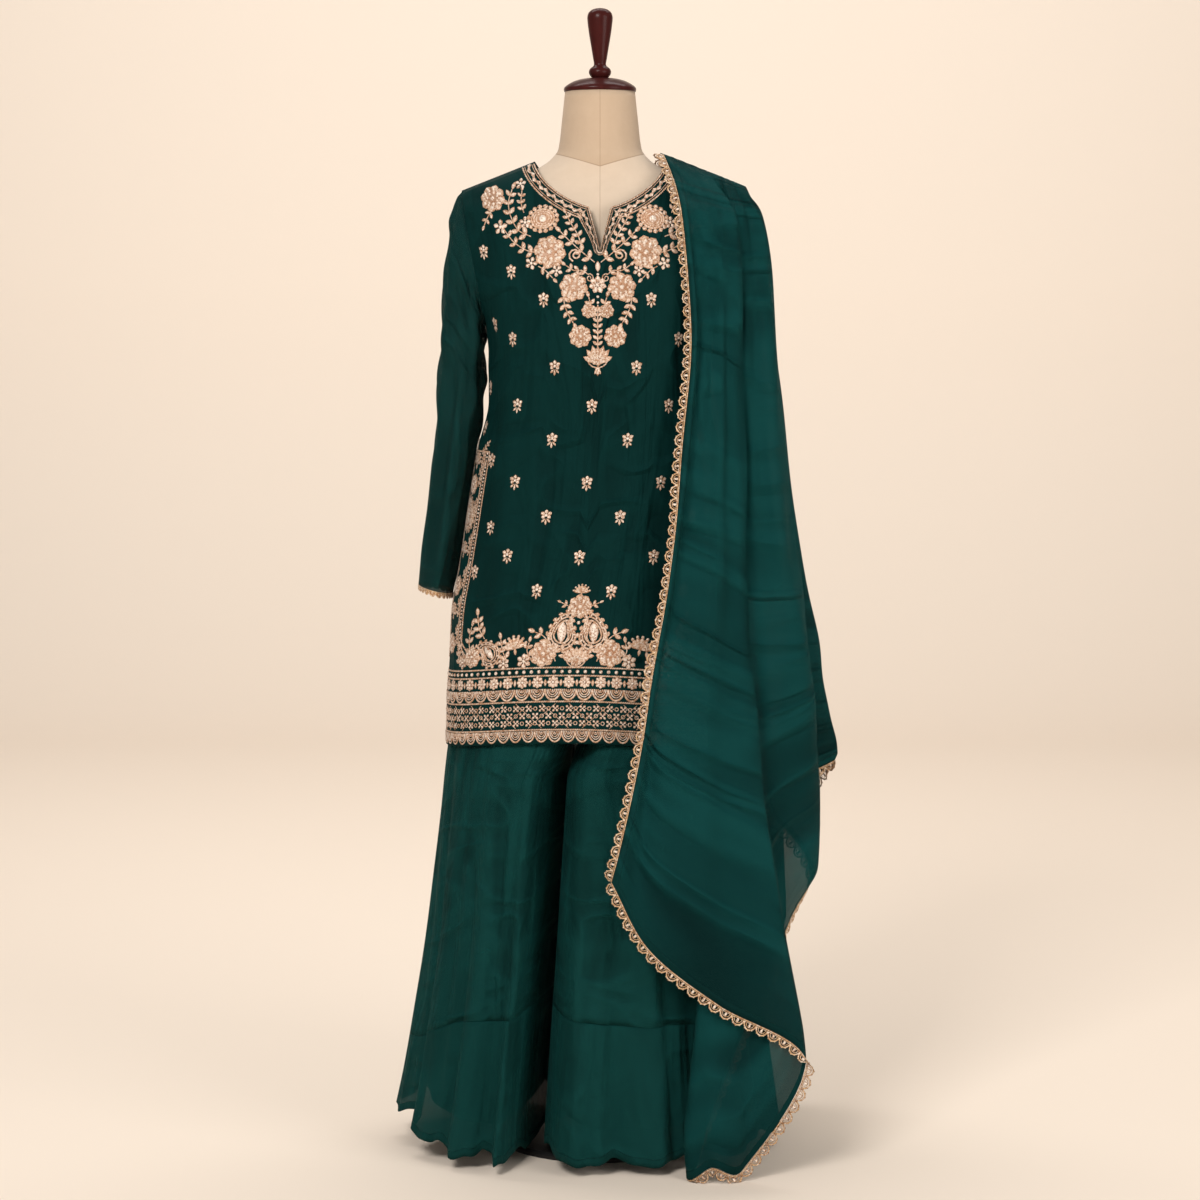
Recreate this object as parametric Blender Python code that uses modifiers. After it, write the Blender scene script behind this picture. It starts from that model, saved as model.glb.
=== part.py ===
"""Salwar kameez suit on a limbless dress form: a knee-length kurta with long sleeves, wide flounced
trousers with a shorter lining, and a dupatta over the wearer's left shoulder and arm.

Metres, +Z up, the wearer faces -Y. The origin is the centre of the stand's base, on the floor.
The cloth is walls of one thickness: each panel is a grid laid on its own surface, which is the wall's
inner face, and Solidify grows it outwards, so neighbouring panels keep their seam gap.
"""

import math
from collections import namedtuple

import bmesh
import bpy
import numpy as np

# --- driving sizes -------------------------------------------------------------------------------
CLOTH = 0.0012  # wall of every cloth panel
SEAM = 0.0004  # gap between pieces that are sewn together

SHOULDER_SLOPE = 0.394  # fall of the shoulder seam for each metre out
NECK_POINT = (0.0898, 1.3728)  # half-width and height where neckline and shoulder seam meet
SHOULDER_TIP = (0.191, 1.333)  # half-width and height of the shoulder seam's outer end
UNDERARM = (0.158, 1.150)
ARMHOLE_HALF_DEPTH = 0.060
BODY_ROUNDNESS = 2.2  # exponent of the kurta's rounded sections

FRONT_NECK_DROP = 0.067
FRONT_NECK_EXPONENT = 1.6
BACK_NECK_DROP = 0.020
NOTCH_HALF_WIDTH = 0.0145
NOTCH_BOTTOM = 1.250
NECK_BORDER_WIDTH = 0.019
NECK_BORDER_LIFT = 0.0013

KURTA_HEM_FRONT = 0.584  # height of the hem at centre front
KURTA_HEM_RISE = 0.018  # how much lower the hem's side corners hang
KURTA_BACK_HEM = 0.590
SLIT_TOP = 0.975
SLIT_OPENING = 0.012  # how far the slit's edges part at the hem
TWIST_AT_HEM = 7.6  # degrees that the kurta has turned on the form, towards the wearer's right

CUFF_LACE = 0.008
DUPATTA_LACE = 0.012

CROTCH = 0.585
RISE_HEIGHT = 0.115  # height over which the two legs grow into one hip
LEG_CORNER = 0.055  # how far in from the inseam a leg reaches its full depth
LEG_GAP = 0.0035  # half the gap between the legs
WAIST = 0.930
WAISTBAND_HEIGHT = 0.032
LINING_SHORTER = 0.030

POLE_RADIUS = 0.0125
POLE_BOTTOM = 0.0303
TORSO_BOTTOM = 0.715
BASE_RADIUS = 0.145
NECK_TOP = 1.4687

# --- tables --------------------------------------------------------------------------------------
Depth = namedtuple("Depth", "height front back")
KURTA_DEPTHS = (
    Depth(0.566, 0.158, 0.150),
    Depth(0.700, 0.150, 0.142),
    Depth(0.820, 0.142, 0.136),
    Depth(0.905, 0.132, 0.122),
    Depth(0.980, 0.127, 0.108),
    Depth(1.050, 0.132, 0.104),
    Depth(1.120, 0.137, 0.106),
    Depth(1.180, 0.131, 0.108),
    Depth(1.240, 0.117, 0.106),
    Depth(1.300, 0.098, 0.098),
    Depth(1.335, 0.080, 0.086),
    Depth(1.375, 0.064, 0.070),
)

Side = namedtuple("Side", "height left right")
KURTA_SIDES = (  # side seams below the underarm: the wearer's right is -X
    Side(0.566, -0.2150, 0.1950),
    Side(0.624, -0.2135, 0.1940),
    Side(0.695, -0.2090, 0.1910),
    Side(0.751, -0.2060, 0.1900),
    Side(0.821, -0.1940, 0.1820),
    Side(0.905, -0.1814, 0.1740),
    Side(0.975, -0.1700, 0.1660),
    Side(1.045, -0.1540, 0.1530),
    Side(1.110, -0.1540, 0.1540),
    Side(1.150, -0.1580, 0.1580),
)

Hip = namedtuple("Hip", "height left right front back split")
TROUSER_SECTIONS = (  # both legs together, and where the line between them runs
    Hip(0.030, -0.281, 0.247, 0.216, 0.202, -0.066),
    Hip(0.100, -0.267, 0.238, 0.207, 0.193, -0.062),
    Hip(0.200, -0.252, 0.225, 0.194, 0.181, -0.056),
    Hip(0.296, -0.239, 0.214, 0.182, 0.170, -0.050),
    Hip(0.382, -0.230, 0.205, 0.172, 0.161, -0.045),
    Hip(0.468, -0.221, 0.197, 0.163, 0.153, -0.040),
    Hip(0.553, -0.213, 0.190, 0.153, 0.144, -0.035),
    Hip(0.600, -0.206, 0.187, 0.147, 0.139, -0.032),
    Hip(0.700, -0.196, 0.182, 0.140, 0.133, -0.022),
    Hip(0.800, -0.180, 0.170, 0.130, 0.123, -0.012),
    Hip(0.962, -0.136, 0.136, 0.110, 0.097, 0.000),
)

Edge = namedtuple("Edge", "name front outer back inner")
LEG_EDGES = {  # heights at four points round a leg: the wearer's right leg first
    -1: (Edge("hem", 0.031, 0.056, 0.046, 0.040), Edge("seam", 0.203, 0.150, 0.190, 0.222)),
    1: (Edge("hem", 0.029, 0.036, 0.046, 0.040), Edge("seam", 0.200, 0.165, 0.190, 0.218)),
}

Ring = namedtuple("Ring", "outer_x outer_z inner_x inner_z centre_y half_depth")
SLEEVE_RINGS = (  # from the armhole to the cuff, on the wearer's left
    Ring(0.1935, 1.3330, 0.1612, 1.1490, 0.000, 0.0600),
    Ring(0.2038, 1.3000, 0.1612, 1.1370, 0.000, 0.0610),
    Ring(0.2085, 1.2740, 0.1614, 1.1260, 0.000, 0.0615),
    Ring(0.2160, 1.2050, 0.1618, 1.0970, 0.001, 0.0620),
    Ring(0.2222, 1.1140, 0.1632, 1.0450, 0.002, 0.0620),
    Ring(0.2290, 1.0000, 0.1765, 0.9600, 0.004, 0.0600),
    Ring(0.2395, 0.9000, 0.1905, 0.8780, 0.006, 0.0580),
    Ring(0.2535, 0.7880, 0.2068, 0.7760, 0.008, 0.0560),
)

Body = namedtuple("Body", "height half_width front back roundness")
TORSO_SECTIONS = (
    Body(TORSO_BOTTOM, 0.088, 0.066, 0.068, 2.0),
    Body(0.722, 0.120, 0.090, 0.092, 2.1),
    Body(0.738, 0.138, 0.103, 0.105, 2.2),
    Body(0.775, 0.148, 0.107, 0.105, 2.2),
    Body(0.850, 0.141, 0.103, 0.098, 2.2),
    Body(0.930, 0.122, 0.096, 0.084, 2.2),
    Body(0.985, 0.115, 0.095, 0.081, 2.2),
    Body(1.050, 0.122, 0.104, 0.083, 2.2),
    Body(1.120, 0.136, 0.118, 0.088, 2.2),
    Body(1.180, 0.144, 0.115, 0.092, 2.2),
    Body(1.240, 0.153, 0.101, 0.092, 2.4),
    Body(1.285, 0.164, 0.088, 0.087, 2.5),
    Body(1.312, 0.173, 0.079, 0.081, 2.3),
    Body(1.328, 0.178, 0.072, 0.077, 2.0),
    Body(1.340, 0.148, 0.065, 0.071, 2.0),
    Body(1.353, 0.113, 0.060, 0.066, 2.0),
    Body(1.366, 0.082, 0.0585, 0.063, 2.0),
    Body(1.377, 0.067, 0.0585, 0.061, 2.0),
    Body(1.390, 0.0575, 0.0560, 0.0585, 2.0),
    Body(1.430, 0.0524, 0.0520, 0.0540, 2.0),
    Body(NECK_TOP, 0.0483, 0.0483, 0.0490, 2.0),
)

# A fold line of the dupatta runs from the shoulder down to the cloth's edge. The first number is its
# half-width on the shoulder, and the stations after it are (x, y, z), at matching places on each line.
FRONT_FOLDS = {
    "inner edge": (0.084, (0.107, -0.099, 1.297), (0.1185, -0.115, 1.129), (0.103, -0.134, 0.950),
                   (0.088, -0.152, 0.800), (0.066, -0.167, 0.660), (0.044, -0.186, 0.530),
                   (0.016, -0.203, 0.404)),
    "first ridge": (0.104, (0.130, -0.094, 1.290), (0.138, -0.108, 1.125), (0.126, -0.127, 0.940),
                    (0.112, -0.147, 0.785), (0.094, -0.166, 0.635), (0.078, -0.187, 0.480),
                    (0.066, -0.212, 0.314)),
    "soft valley": (0.124, (0.157, -0.087, 1.282), (0.164, -0.098, 1.115), (0.161, -0.113, 0.925),
                    (0.158, -0.131, 0.760), (0.156, -0.148, 0.600), (0.156, -0.175, 0.430),
                    (0.160, -0.222, 0.240)),
    "front fold": (0.143, (0.184, -0.081, 1.276), (0.188, -0.094, 1.100), (0.194, -0.101, 0.905),
                   (0.199, -0.118, 0.735), (0.213, -0.138, 0.575), (0.236, -0.178, 0.390),
                   (0.276, -0.228, 0.164)),
    "tucked layer": (0.151, (0.179, -0.075, 1.273), (0.181, -0.087, 1.100), (0.184, -0.094, 0.905),
                     (0.184, -0.110, 0.735), (0.187, -0.130, 0.565), (0.198, -0.172, 0.350),
                     (0.196, -0.230, 0.021)),
    "tucked fold": (0.158, (0.175, -0.071, 1.271), (0.175, -0.081, 1.100), (0.171, -0.088, 0.905),
                    (0.164, -0.103, 0.735), (0.155, -0.124, 0.565), (0.145, -0.170, 0.350),
                    (0.152, -0.245, 0.023)),
    "tail corner": (0.165, (0.181, -0.067, 1.270), (0.184, -0.074, 1.100), (0.184, -0.080, 0.905),
                    (0.182, -0.092, 0.735), (0.176, -0.109, 0.570), (0.160, -0.160, 0.360),
                    (0.126, -0.214, 0.024)),
    "arm front": (0.176, (0.198, -0.064, 1.270), (0.207, -0.071, 1.100), (0.215, -0.074, 0.900),
                  (0.227, -0.082, 0.730), (0.237, -0.088, 0.590), (0.244, -0.094, 0.450),
                  (0.250, -0.100, 0.312)),
    "arm fold": (0.185, (0.212, -0.042, 1.270), (0.227, -0.048, 1.100), (0.244, -0.053, 0.905),
                 (0.268, -0.050, 0.735), (0.286, -0.040, 0.620), (0.291, -0.030, 0.500),
                 (0.290, -0.022, 0.392)),
    "arm valley": (0.192, (0.214, -0.018, 1.270), (0.230, -0.012, 1.100), (0.252, -0.008, 0.900),
                   (0.262, 0.000, 0.740), (0.250, 0.010, 0.640), (0.243, 0.016, 0.560),
                   (0.238, 0.020, 0.480)),
    "side tip": (0.198, (0.2155, 0.004, 1.270), (0.2375, 0.020, 1.100), (0.263, 0.034, 0.900),
                 (0.290, 0.044, 0.740), (0.307, 0.048, 0.645), (0.321, 0.050, 0.580),
                 (0.332, 0.050, 0.532)),
}
BACK_FOLDS = {
    "side tip": (0.198, (0.2155, 0.0065, 1.270), (0.2370, 0.0225, 1.100), (0.2620, 0.0365, 0.900),
                 (0.2890, 0.0470, 0.740), (0.3060, 0.0520, 0.645), (0.3200, 0.0550, 0.580),
                 (0.3310, 0.0570, 0.532)),
    "arm back": (0.190, (0.207, 0.048, 1.270), (0.220, 0.072, 1.100), (0.240, 0.082, 0.900),
                 (0.264, 0.090, 0.740), (0.284, 0.093, 0.630), (0.298, 0.094, 0.555),
                 (0.308, 0.094, 0.495)),
    "back valley": (0.178, (0.190, 0.074, 1.270), (0.199, 0.086, 1.100), (0.212, 0.098, 0.900),
                    (0.223, 0.108, 0.730), (0.232, 0.116, 0.590), (0.239, 0.122, 0.480),
                    (0.245, 0.126, 0.390)),
    "back fold": (0.160, (0.171, 0.094, 1.270), (0.182, 0.112, 1.100), (0.197, 0.132, 0.900),
                  (0.212, 0.152, 0.720), (0.229, 0.173, 0.530), (0.245, 0.194, 0.360),
                  (0.256, 0.207, 0.215)),
    "second valley": (0.140, (0.149, 0.093, 1.270), (0.155, 0.106, 1.100), (0.161, 0.122, 0.900),
                      (0.167, 0.140, 0.700), (0.173, 0.160, 0.490), (0.180, 0.184, 0.290),
                      (0.186, 0.203, 0.125)),
    "second fold": (0.114, (0.124, 0.103, 1.270), (0.125, 0.122, 1.090), (0.122, 0.140, 0.880),
                    (0.118, 0.162, 0.670), (0.112, 0.186, 0.460), (0.105, 0.210, 0.260),
                    (0.098, 0.226, 0.110)),
    "inner back edge": (0.084, (0.098, 0.096, 1.280), (0.100, 0.115, 1.090), (0.090, 0.133, 0.880),
                        (0.078, 0.153, 0.670), (0.064, 0.175, 0.460), (0.048, 0.198, 0.270),
                        (0.034, 0.214, 0.130)),
}
DUPATTA_LIFT = 0.0095  # how far the dupatta's inner face lies above the shoulder seam
RIDGE_Y = 0.0012  # half the gap between its front and back stretches
DUPATTA_CLEARANCE = 0.0065
NECK_BORDER_CLEARANCE = 0.0050  # more of it where the neck border lies underneath
LACE_CLEARANCE = -0.0020  # lace may lie closer than the cloth it edges
LEG_FOLDS_REACH = 0.0125  # how far out the trousers' folds and the dupatta's clearance go
FLOOR_CLEARANCE = 0.0016
LACE_GAP = 0.0019
LACE_CORNER_GAP = 0.004
DUPATTA_ROWS = np.array((0, 0.05, 0.10, 0.14, 0.19, 0.25, 0.34, 0.45, 0.56, 0.67, 0.79, 0.90, 1))
FRONT_COLUMNS = np.linspace(0, 1, 21)
BACK_COLUMNS = np.linspace(0, 1, 13)
TAIL_COLUMN = 12  # the front column at the tail's corner, where the end lace turns into the side lace


# --- numbers between the rows of a table ---------------------------------------------------------
def between(rows, column, at):
    """A table's column at a place between its rows, on a curve that never overshoots them."""
    places = [row.height for row in rows]
    values = [getattr(row, column) for row in rows]
    at = min(max(at, places[0]), places[-1])
    i = min(max(int(np.searchsorted(places, at)) - 1, 0), len(rows) - 2)
    slopes = np.diff(values) / np.diff(places)

    def tangent(k):
        if k in (0, len(rows) - 1) or slopes[k - 1] * slopes[k] <= 0:
            return 0.0 if 0 < k < len(rows) - 1 else slopes[min(k, len(slopes) - 1)]
        return 2 * slopes[k - 1] * slopes[k] / (slopes[k - 1] + slopes[k])

    span = places[i + 1] - places[i]
    t = (at - places[i]) / span
    rise = values[i + 1] - values[i]
    low, high = tangent(i) * span, tangent(i + 1) * span
    return values[i] + t * low + t * t * (3 * rise - 2 * low - high) + t**3 * (low + high - 2 * rise)


def curve_point(points, t):
    """The point at t, from 0 to 1, of the smooth curve through the points."""
    last = len(points) - 1
    place = min(max(t, 0.0), 1.0) * last
    i = min(int(place), last - 1)
    f = place - i
    a, b = points[i], points[i + 1]
    before = points[i - 1] if i else 2 * a - b
    after = points[i + 2] if i + 2 <= last else 2 * b - a
    return 0.5 * (
        2 * a + (b - before) * f + (2 * before - 5 * a + 4 * b - after) * f**2
        + (3 * a - before - 3 * b + after) * f**3
    )


def smooth_step(value):
    value = min(max(value, 0.0), 1.0)
    return value * value * (3 - 2 * value)


def superellipse_depth(part, roundness):
    """Depth of a rounded section, from 1 on its centre line to 0 at its side."""
    return max(0.0, 1 - min(abs(part), 1.0) ** roundness) ** (1 / roundness)


# --- objects -------------------------------------------------------------------------------------
def clear_scene():
    for obj in list(bpy.data.objects):
        bpy.data.objects.remove(obj, do_unlink=True)
    suit = bpy.data.collections.new("salwar_kameez_suit")
    bpy.context.scene.collection.children.link(suit)
    return suit


def material(name, colour, roughness, metallic=0.0):
    made = bpy.data.materials.new(name)
    made.use_nodes = True
    shader = made.node_tree.nodes["Principled BSDF"]
    shader.inputs["Base Color"].default_value = (*colour, 1)
    shader.inputs["Roughness"].default_value = roughness
    shader.inputs["Metallic"].default_value = metallic
    return made


def place(name, bm, finish):
    mesh = bpy.data.meshes.new(name)
    bm.to_mesh(mesh)
    bm.free()
    mesh.materials.append(finish)
    mesh.shade_smooth()
    mesh.set_sharp_from_angle(angle=math.radians(50))
    obj = bpy.data.objects.new(name, mesh)
    SUIT.objects.link(obj)
    return obj


def grid(surface, columns, rows, closed=False):
    """A mesh grid laid on surface(u, v), with u and v from 0 to 1, or at the given lists of places."""
    us = np.linspace(0, 1, columns + 1) if isinstance(columns, int) else columns
    vs = np.linspace(0, 1, rows + 1) if isinstance(rows, int) else rows
    bm = bmesh.new()
    bmesh.ops.create_grid(bm, x_segments=len(us) - 1, y_segments=len(vs) - 1, size=0.5)
    for vert in bm.verts:
        i = round((vert.co.x + 0.5) * (len(us) - 1))
        j = round((vert.co.y + 0.5) * (len(vs) - 1))
        vert.co = surface(us[i], vs[j])
    if closed:
        bmesh.ops.remove_doubles(bm, verts=bm.verts, dist=1e-5)
    return bm


def wall(name, bm, finish, thickness=CLOTH):
    """Grows an open surface outwards, the way its faces point, into a closed wall."""
    obj = place(name, bm, finish)
    solidify = obj.modifiers.new("wall", "SOLIDIFY")
    solidify.thickness = thickness
    solidify.offset = 1
    return obj


def turned(name, profile, finish, segments):
    """A turned solid: the profile runs down its outer side, as (radius, height)."""
    bm = bmesh.new()
    verts = [bm.verts.new((radius, 0, height)) for radius, height in profile]
    for upper, lower in zip(verts, verts[1:]):
        bm.edges.new((upper, lower))
    obj = place(name, bm, finish)
    screw = obj.modifiers.new("turn", "SCREW")
    screw.steps = screw.render_steps = segments
    screw.use_merge_vertices = True
    screw.merge_threshold = 1e-5
    return obj


# --- the kurta's surface -------------------------------------------------------------------------
def shoulder_line(x):
    return NECK_POINT[1] - (abs(x) - NECK_POINT[0]) * SHOULDER_SLOPE


def front_neckline(x):
    part = min(abs(x) / NECK_POINT[0], 1)
    drop = FRONT_NECK_DROP * superellipse_depth(part, FRONT_NECK_EXPONENT)
    if abs(x) < NOTCH_HALF_WIDTH:
        corner = front_neckline(NOTCH_HALF_WIDTH)
        return NOTCH_BOTTOM + (corner - NOTCH_BOTTOM) * abs(x) / NOTCH_HALF_WIDTH
    return NECK_POINT[1] - drop


def back_neckline(x):
    return NECK_POINT[1] - BACK_NECK_DROP * superellipse_depth(abs(x) / NECK_POINT[0], 2)


def armhole_half_depth(z):
    middle = (UNDERARM[1] + SHOULDER_TIP[1]) / 2
    part = (z - middle) / (SHOULDER_TIP[1] - middle)
    return ARMHOLE_HALF_DEPTH * math.sqrt(max(0.0, 1 - part * part))


def kurta_width(z):
    """(centre, half-width) of a kurta panel at this height: side seams, armholes, then straight up."""
    if z <= UNDERARM[1]:
        left, right = between(KURTA_SIDES, "left", z), between(KURTA_SIDES, "right", z)
        return (left + right) / 2, (right - left) / 2
    up = min(1.0, (z - UNDERARM[1]) / (SHOULDER_TIP[1] - UNDERARM[1]))
    return 0.0, UNDERARM[0] + up * (SHOULDER_TIP[0] - UNDERARM[0])


def kurta_section(z, side):
    """(centre, half-width, depth) of the rounded section that a panel follows at this height."""
    depth = between(KURTA_DEPTHS, side, z)
    centre, half_width = kurta_width(z)
    if z > SHOULDER_TIP[1]:
        half_width = NECK_POINT[0] + (NECK_POINT[1] - z) / SHOULDER_SLOPE
    elif z > UNDERARM[1]:
        edge = (armhole_half_depth(z) / depth) ** BODY_ROUNDNESS
        half_width /= (1 - edge) ** (1 / BODY_ROUNDNESS)
    return centre, max(half_width, 0.02), depth


def kurta_y(x, z, side):
    centre, half_width, depth = kurta_section(z, side)
    return depth * superellipse_depth((x - centre) / half_width, BODY_ROUNDNESS)


def kurta_outside(x, z, side, out):
    """The point this far outside a kurta panel's surface, along the surface's own normal."""
    step = 0.002
    way = -1 if side == "front" else 1
    y = kurta_y(x, z, side)
    slope_x = (kurta_y(x + step, z, side) - kurta_y(x - step, z, side)) / (2 * step)
    slope_z = (kurta_y(x, z + step, side) - kurta_y(x, z - step, side)) / (2 * step)
    steep = math.sqrt(1 + slope_x**2 + slope_z**2)
    return x - slope_x / steep * out, way * (y + out / steep), z - slope_z / steep * out


def twist(z):
    return TWIST_AT_HEM * smooth_step((UNDERARM[1] - z) / (UNDERARM[1] - KURTA_HEM_FRONT))


def slit_shift(z, across):
    """How far a panel's side edge has moved away from the other panel's, below the slit's top."""
    return SLIT_OPENING / 2 * smooth_step((SLIT_TOP - z) / 0.2) * abs(across) ** 6


def panel_top(across, top_line):
    """Height where a column of a panel, at this part of its half-width, meets its top edge."""
    z = top_line(across * SHOULDER_TIP[0])
    for _ in range(8):
        centre, half_width = kurta_width(z)
        z = top_line(centre + half_width * across)
    return z


def front_panel(across, up):
    bottom = KURTA_HEM_FRONT - KURTA_HEM_RISE * across**2
    top = panel_top(across, lambda x: shoulder_line(x) if abs(x) >= NECK_POINT[0] else front_neckline(x))
    z = bottom + (top - bottom) * up
    centre, half_width = kurta_width(z)
    turn = twist(z)
    angle = math.degrees(math.asin(across)) * (90 - turn) / 90 - turn
    x = centre + half_width * math.sin(math.radians(angle))
    return x, -kurta_y(x, z, "front") - SEAM / 2 - slit_shift(z, across), z


def back_panel(across, up):
    bottom = KURTA_BACK_HEM
    top = panel_top(across, lambda x: shoulder_line(x) if abs(x) >= NECK_POINT[0] else back_neckline(x))
    z = bottom + (top - bottom) * up
    centre, half_width = kurta_width(z)
    turn = twist(z)
    angle = 180 - turn - math.degrees(math.asin(across)) * (90 + turn) / 90
    x = centre + half_width * math.sin(math.radians(angle))
    side, way = ("front", -1) if math.cos(math.radians(angle)) > 1e-6 else ("back", 1)
    return x, way * kurta_y(x, z, side) + SEAM / 2 + slit_shift(z, across), z


# Places of a panel's columns, as parts of its half-width: closer at the notch and at the sides.
HALF_COLUMNS = (0.038, 0.0759, 0.20, 0.33, 0.41, 0.452, NECK_POINT[0] / SHOULDER_TIP[0], 0.60, 0.76, 0.90,
                1.0)
PANEL_ROWS = (0, 0.11, 0.23, 0.36, 0.49, 0.61, 0.71, 0.80, 0.88, 0.94, 0.98, 1.0)


def both_ways(half, middle=True):
    return [-p for p in reversed(half)] + ([0.0] if middle else []) + list(half)


def kurta_panels():
    wall("kurta_front", grid(front_panel, both_ways(HALF_COLUMNS), PANEL_ROWS), GEORGETTE)
    back_columns = [-p for p in both_ways(HALF_COLUMNS[2:])]
    columns = back_columns if back_columns[0] > back_columns[-1] else back_columns[::-1]
    wall("kurta_back", grid(back_panel, columns, PANEL_ROWS), GEORGETTE)


def neckline_path(top_line, from_centre):
    """Points (x, z) down one side of the neckline, from the neck point to the centre."""
    xs = [NECK_POINT[0] * part for part in (0.985, 0.93, 0.82, 0.66, 0.48, 0.32)]
    xs += [NOTCH_HALF_WIDTH, NOTCH_HALF_WIDTH / 2, 0.0] if from_centre else [0.016, 0.0]
    return [np.array([x, top_line(x)]) for x in xs]


def neck_border(name, top_line, side, has_notch):
    """The embroidered band round half of the neckline, on the panel and a little off it."""
    half = neckline_path(top_line, has_notch)
    path = [np.array([-x, z]) for x, z in half] + half[-2::-1]
    normals = []
    for i, point in enumerate(path):
        ahead = path[min(i + 1, len(path) - 1)] - point
        behind = point - path[max(i - 1, 0)]
        ahead = ahead if i + 1 < len(path) else behind
        behind = behind if i else ahead
        turns = [np.array([v[1], -v[0]]) / np.linalg.norm(v) for v in (ahead, behind)]
        middle = sum(turns)
        normals.append(middle / max(0.6, middle @ turns[0]))
    way = -1 if side == "front" else 1

    def surface(u, v):
        i = round(u * (len(path) - 1))
        x, z = path[i] + normals[i] * NECK_BORDER_WIDTH * v
        z = min(z, shoulder_line(x) - 0.003) if abs(x) > 0.08 else z
        return kurta_outside(x, z, side, CLOTH + NECK_BORDER_LIFT)

    us = np.linspace(0, 1, len(path))
    bm = grid(surface, us if side == "back" else us[::-1], (0, 0.5, 1))
    if bm.faces and sum(face.normal.y for face in bm.faces) * way < 0:
        bmesh.ops.reverse_faces(bm, faces=bm.faces)
    wall(name, bm, GOLD, 0.001)


def sleeve_point(side, turn, down):
    """A sleeve's inner face: turn goes once round from the underarm, down from armhole to cuff."""
    rings = [np.array(ring) for ring in SLEEVE_RINGS]
    ring = Ring(*curve_point(rings, down))
    angle = 2 * math.pi * turn
    outwards = (1 - math.cos(angle)) / 2
    x = ring.inner_x + (ring.outer_x - ring.inner_x) * outwards
    z = ring.inner_z + (ring.outer_z - ring.inner_z) * outwards
    return side * x, ring.centre_y + ring.half_depth * math.sin(angle), z


def sleeves():
    for side, name in ((-1, "right"), (1, "left")):
        def sleeve(u, v, side=side):
            return sleeve_point(side, u if side < 0 else 1 - u, 1 - v)

        wall(f"kurta_sleeve_{name}", grid(sleeve, 14, 8, closed=True), GEORGETTE)

        def lace(u, v, side=side):
            x, y, z = sleeve_point(side, u if side < 0 else 1 - u, 1.0)
            return x + side * 0.0006 * (1 - v), y, z - SEAM - CUFF_LACE * (1 - v)

        wall(f"cuff_lace_{name}", grid(lace, 14, 1, closed=True), GOLD)


# --- the trousers --------------------------------------------------------------------------------
def round_leg(edge, turn):
    """An edge's height at this part of the way round a leg: inseam, front, outside, back."""
    angle = 2 * math.pi * turn
    front, outer = math.sin(angle), -math.cos(angle)
    rise = edge.front * max(front, 0) ** 2 + edge.back * max(-front, 0) ** 2
    return rise + edge.outer * max(outer, 0) ** 2 + edge.inner * max(-outer, 0) ** 2


def leg_fold(side, turn, z):
    """How far a fold pushes the cloth out here: slight at the hip, deepest at the hem."""
    angle = 2 * math.pi * turn
    depth = 0.0012 + 0.0078 * smooth_step((0.60 - z) / 0.60) ** 1.3
    waves = math.sin(9 * angle + 0.7 * side) + 0.45 * math.sin(5 * angle + 1.9 * side)
    return depth * waves * (1 - smooth_step((z - 0.50) / 0.12))


def leg_point(side, turn, z, inset=0.0):
    """A leg's inner face: turn goes once round, from the inseam by the front, outside and back."""
    left, right, front, back, split = (
        between(TROUSER_SECTIONS, column, z) for column in Hip._fields[1:]
    )
    push = leg_fold(side, turn, z) * (1 if inset == 0 else 0.4) - inset
    centre, half_width = (left + right) / 2, (right - left) / 2
    outer = (left if side < 0 else right) + side * push
    inner = split + side * (LEG_GAP + max(0.0, 0.553 - z) * 0.006 + inset * 0.8)
    angle = 2 * math.pi * turn
    x = (inner + outer) / 2 + (inner - outer) / 2 * math.cos(angle)
    envelope = superellipse_depth((x - centre) / (half_width + push), BODY_ROUNDNESS)
    corner = min(abs(x - inner) / LEG_CORNER, 1)
    corner_depth = superellipse_depth(1 - corner, 2.4)
    depth = (front if math.sin(angle) >= 0 else back) + push
    leg = np.array([x, -math.copysign(depth * envelope * corner_depth, math.sin(angle))])
    hip_angle = math.pi * turn
    start = split + side * (SEAM / 2 + inset / 2)
    hip_x = start + (outer - start) * math.sin(hip_angle)
    hip_depth = (front if turn < 0.5 else back) + push
    hip_y = superellipse_depth((hip_x - centre) / (half_width + push), BODY_ROUNDNESS) * hip_depth
    hip = np.array([hip_x, -math.copysign(hip_y, math.cos(hip_angle))])
    share = smooth_step((z - CROTCH) / RISE_HEIGHT)
    x, y = leg * (1 - share) + hip * share
    return x, y, z


def inseam_turn(u):
    """Keeps the two edges of a leg's sheet a seam's gap apart at the inseam."""
    margin = 0.0008
    return margin + u * (1 - 2 * margin)


# Heights of a leg's rows above the flounce; 0 stands for the bottom edge, which isn't level.
LEG_ROWS = (0.52, CROTCH, 0.622, 0.662, CROTCH + RISE_HEIGHT, WAIST)


def lining_inset(z):
    return 0.0072 + 0.013 * smooth_step((0.56 - z) / 0.5)


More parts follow.
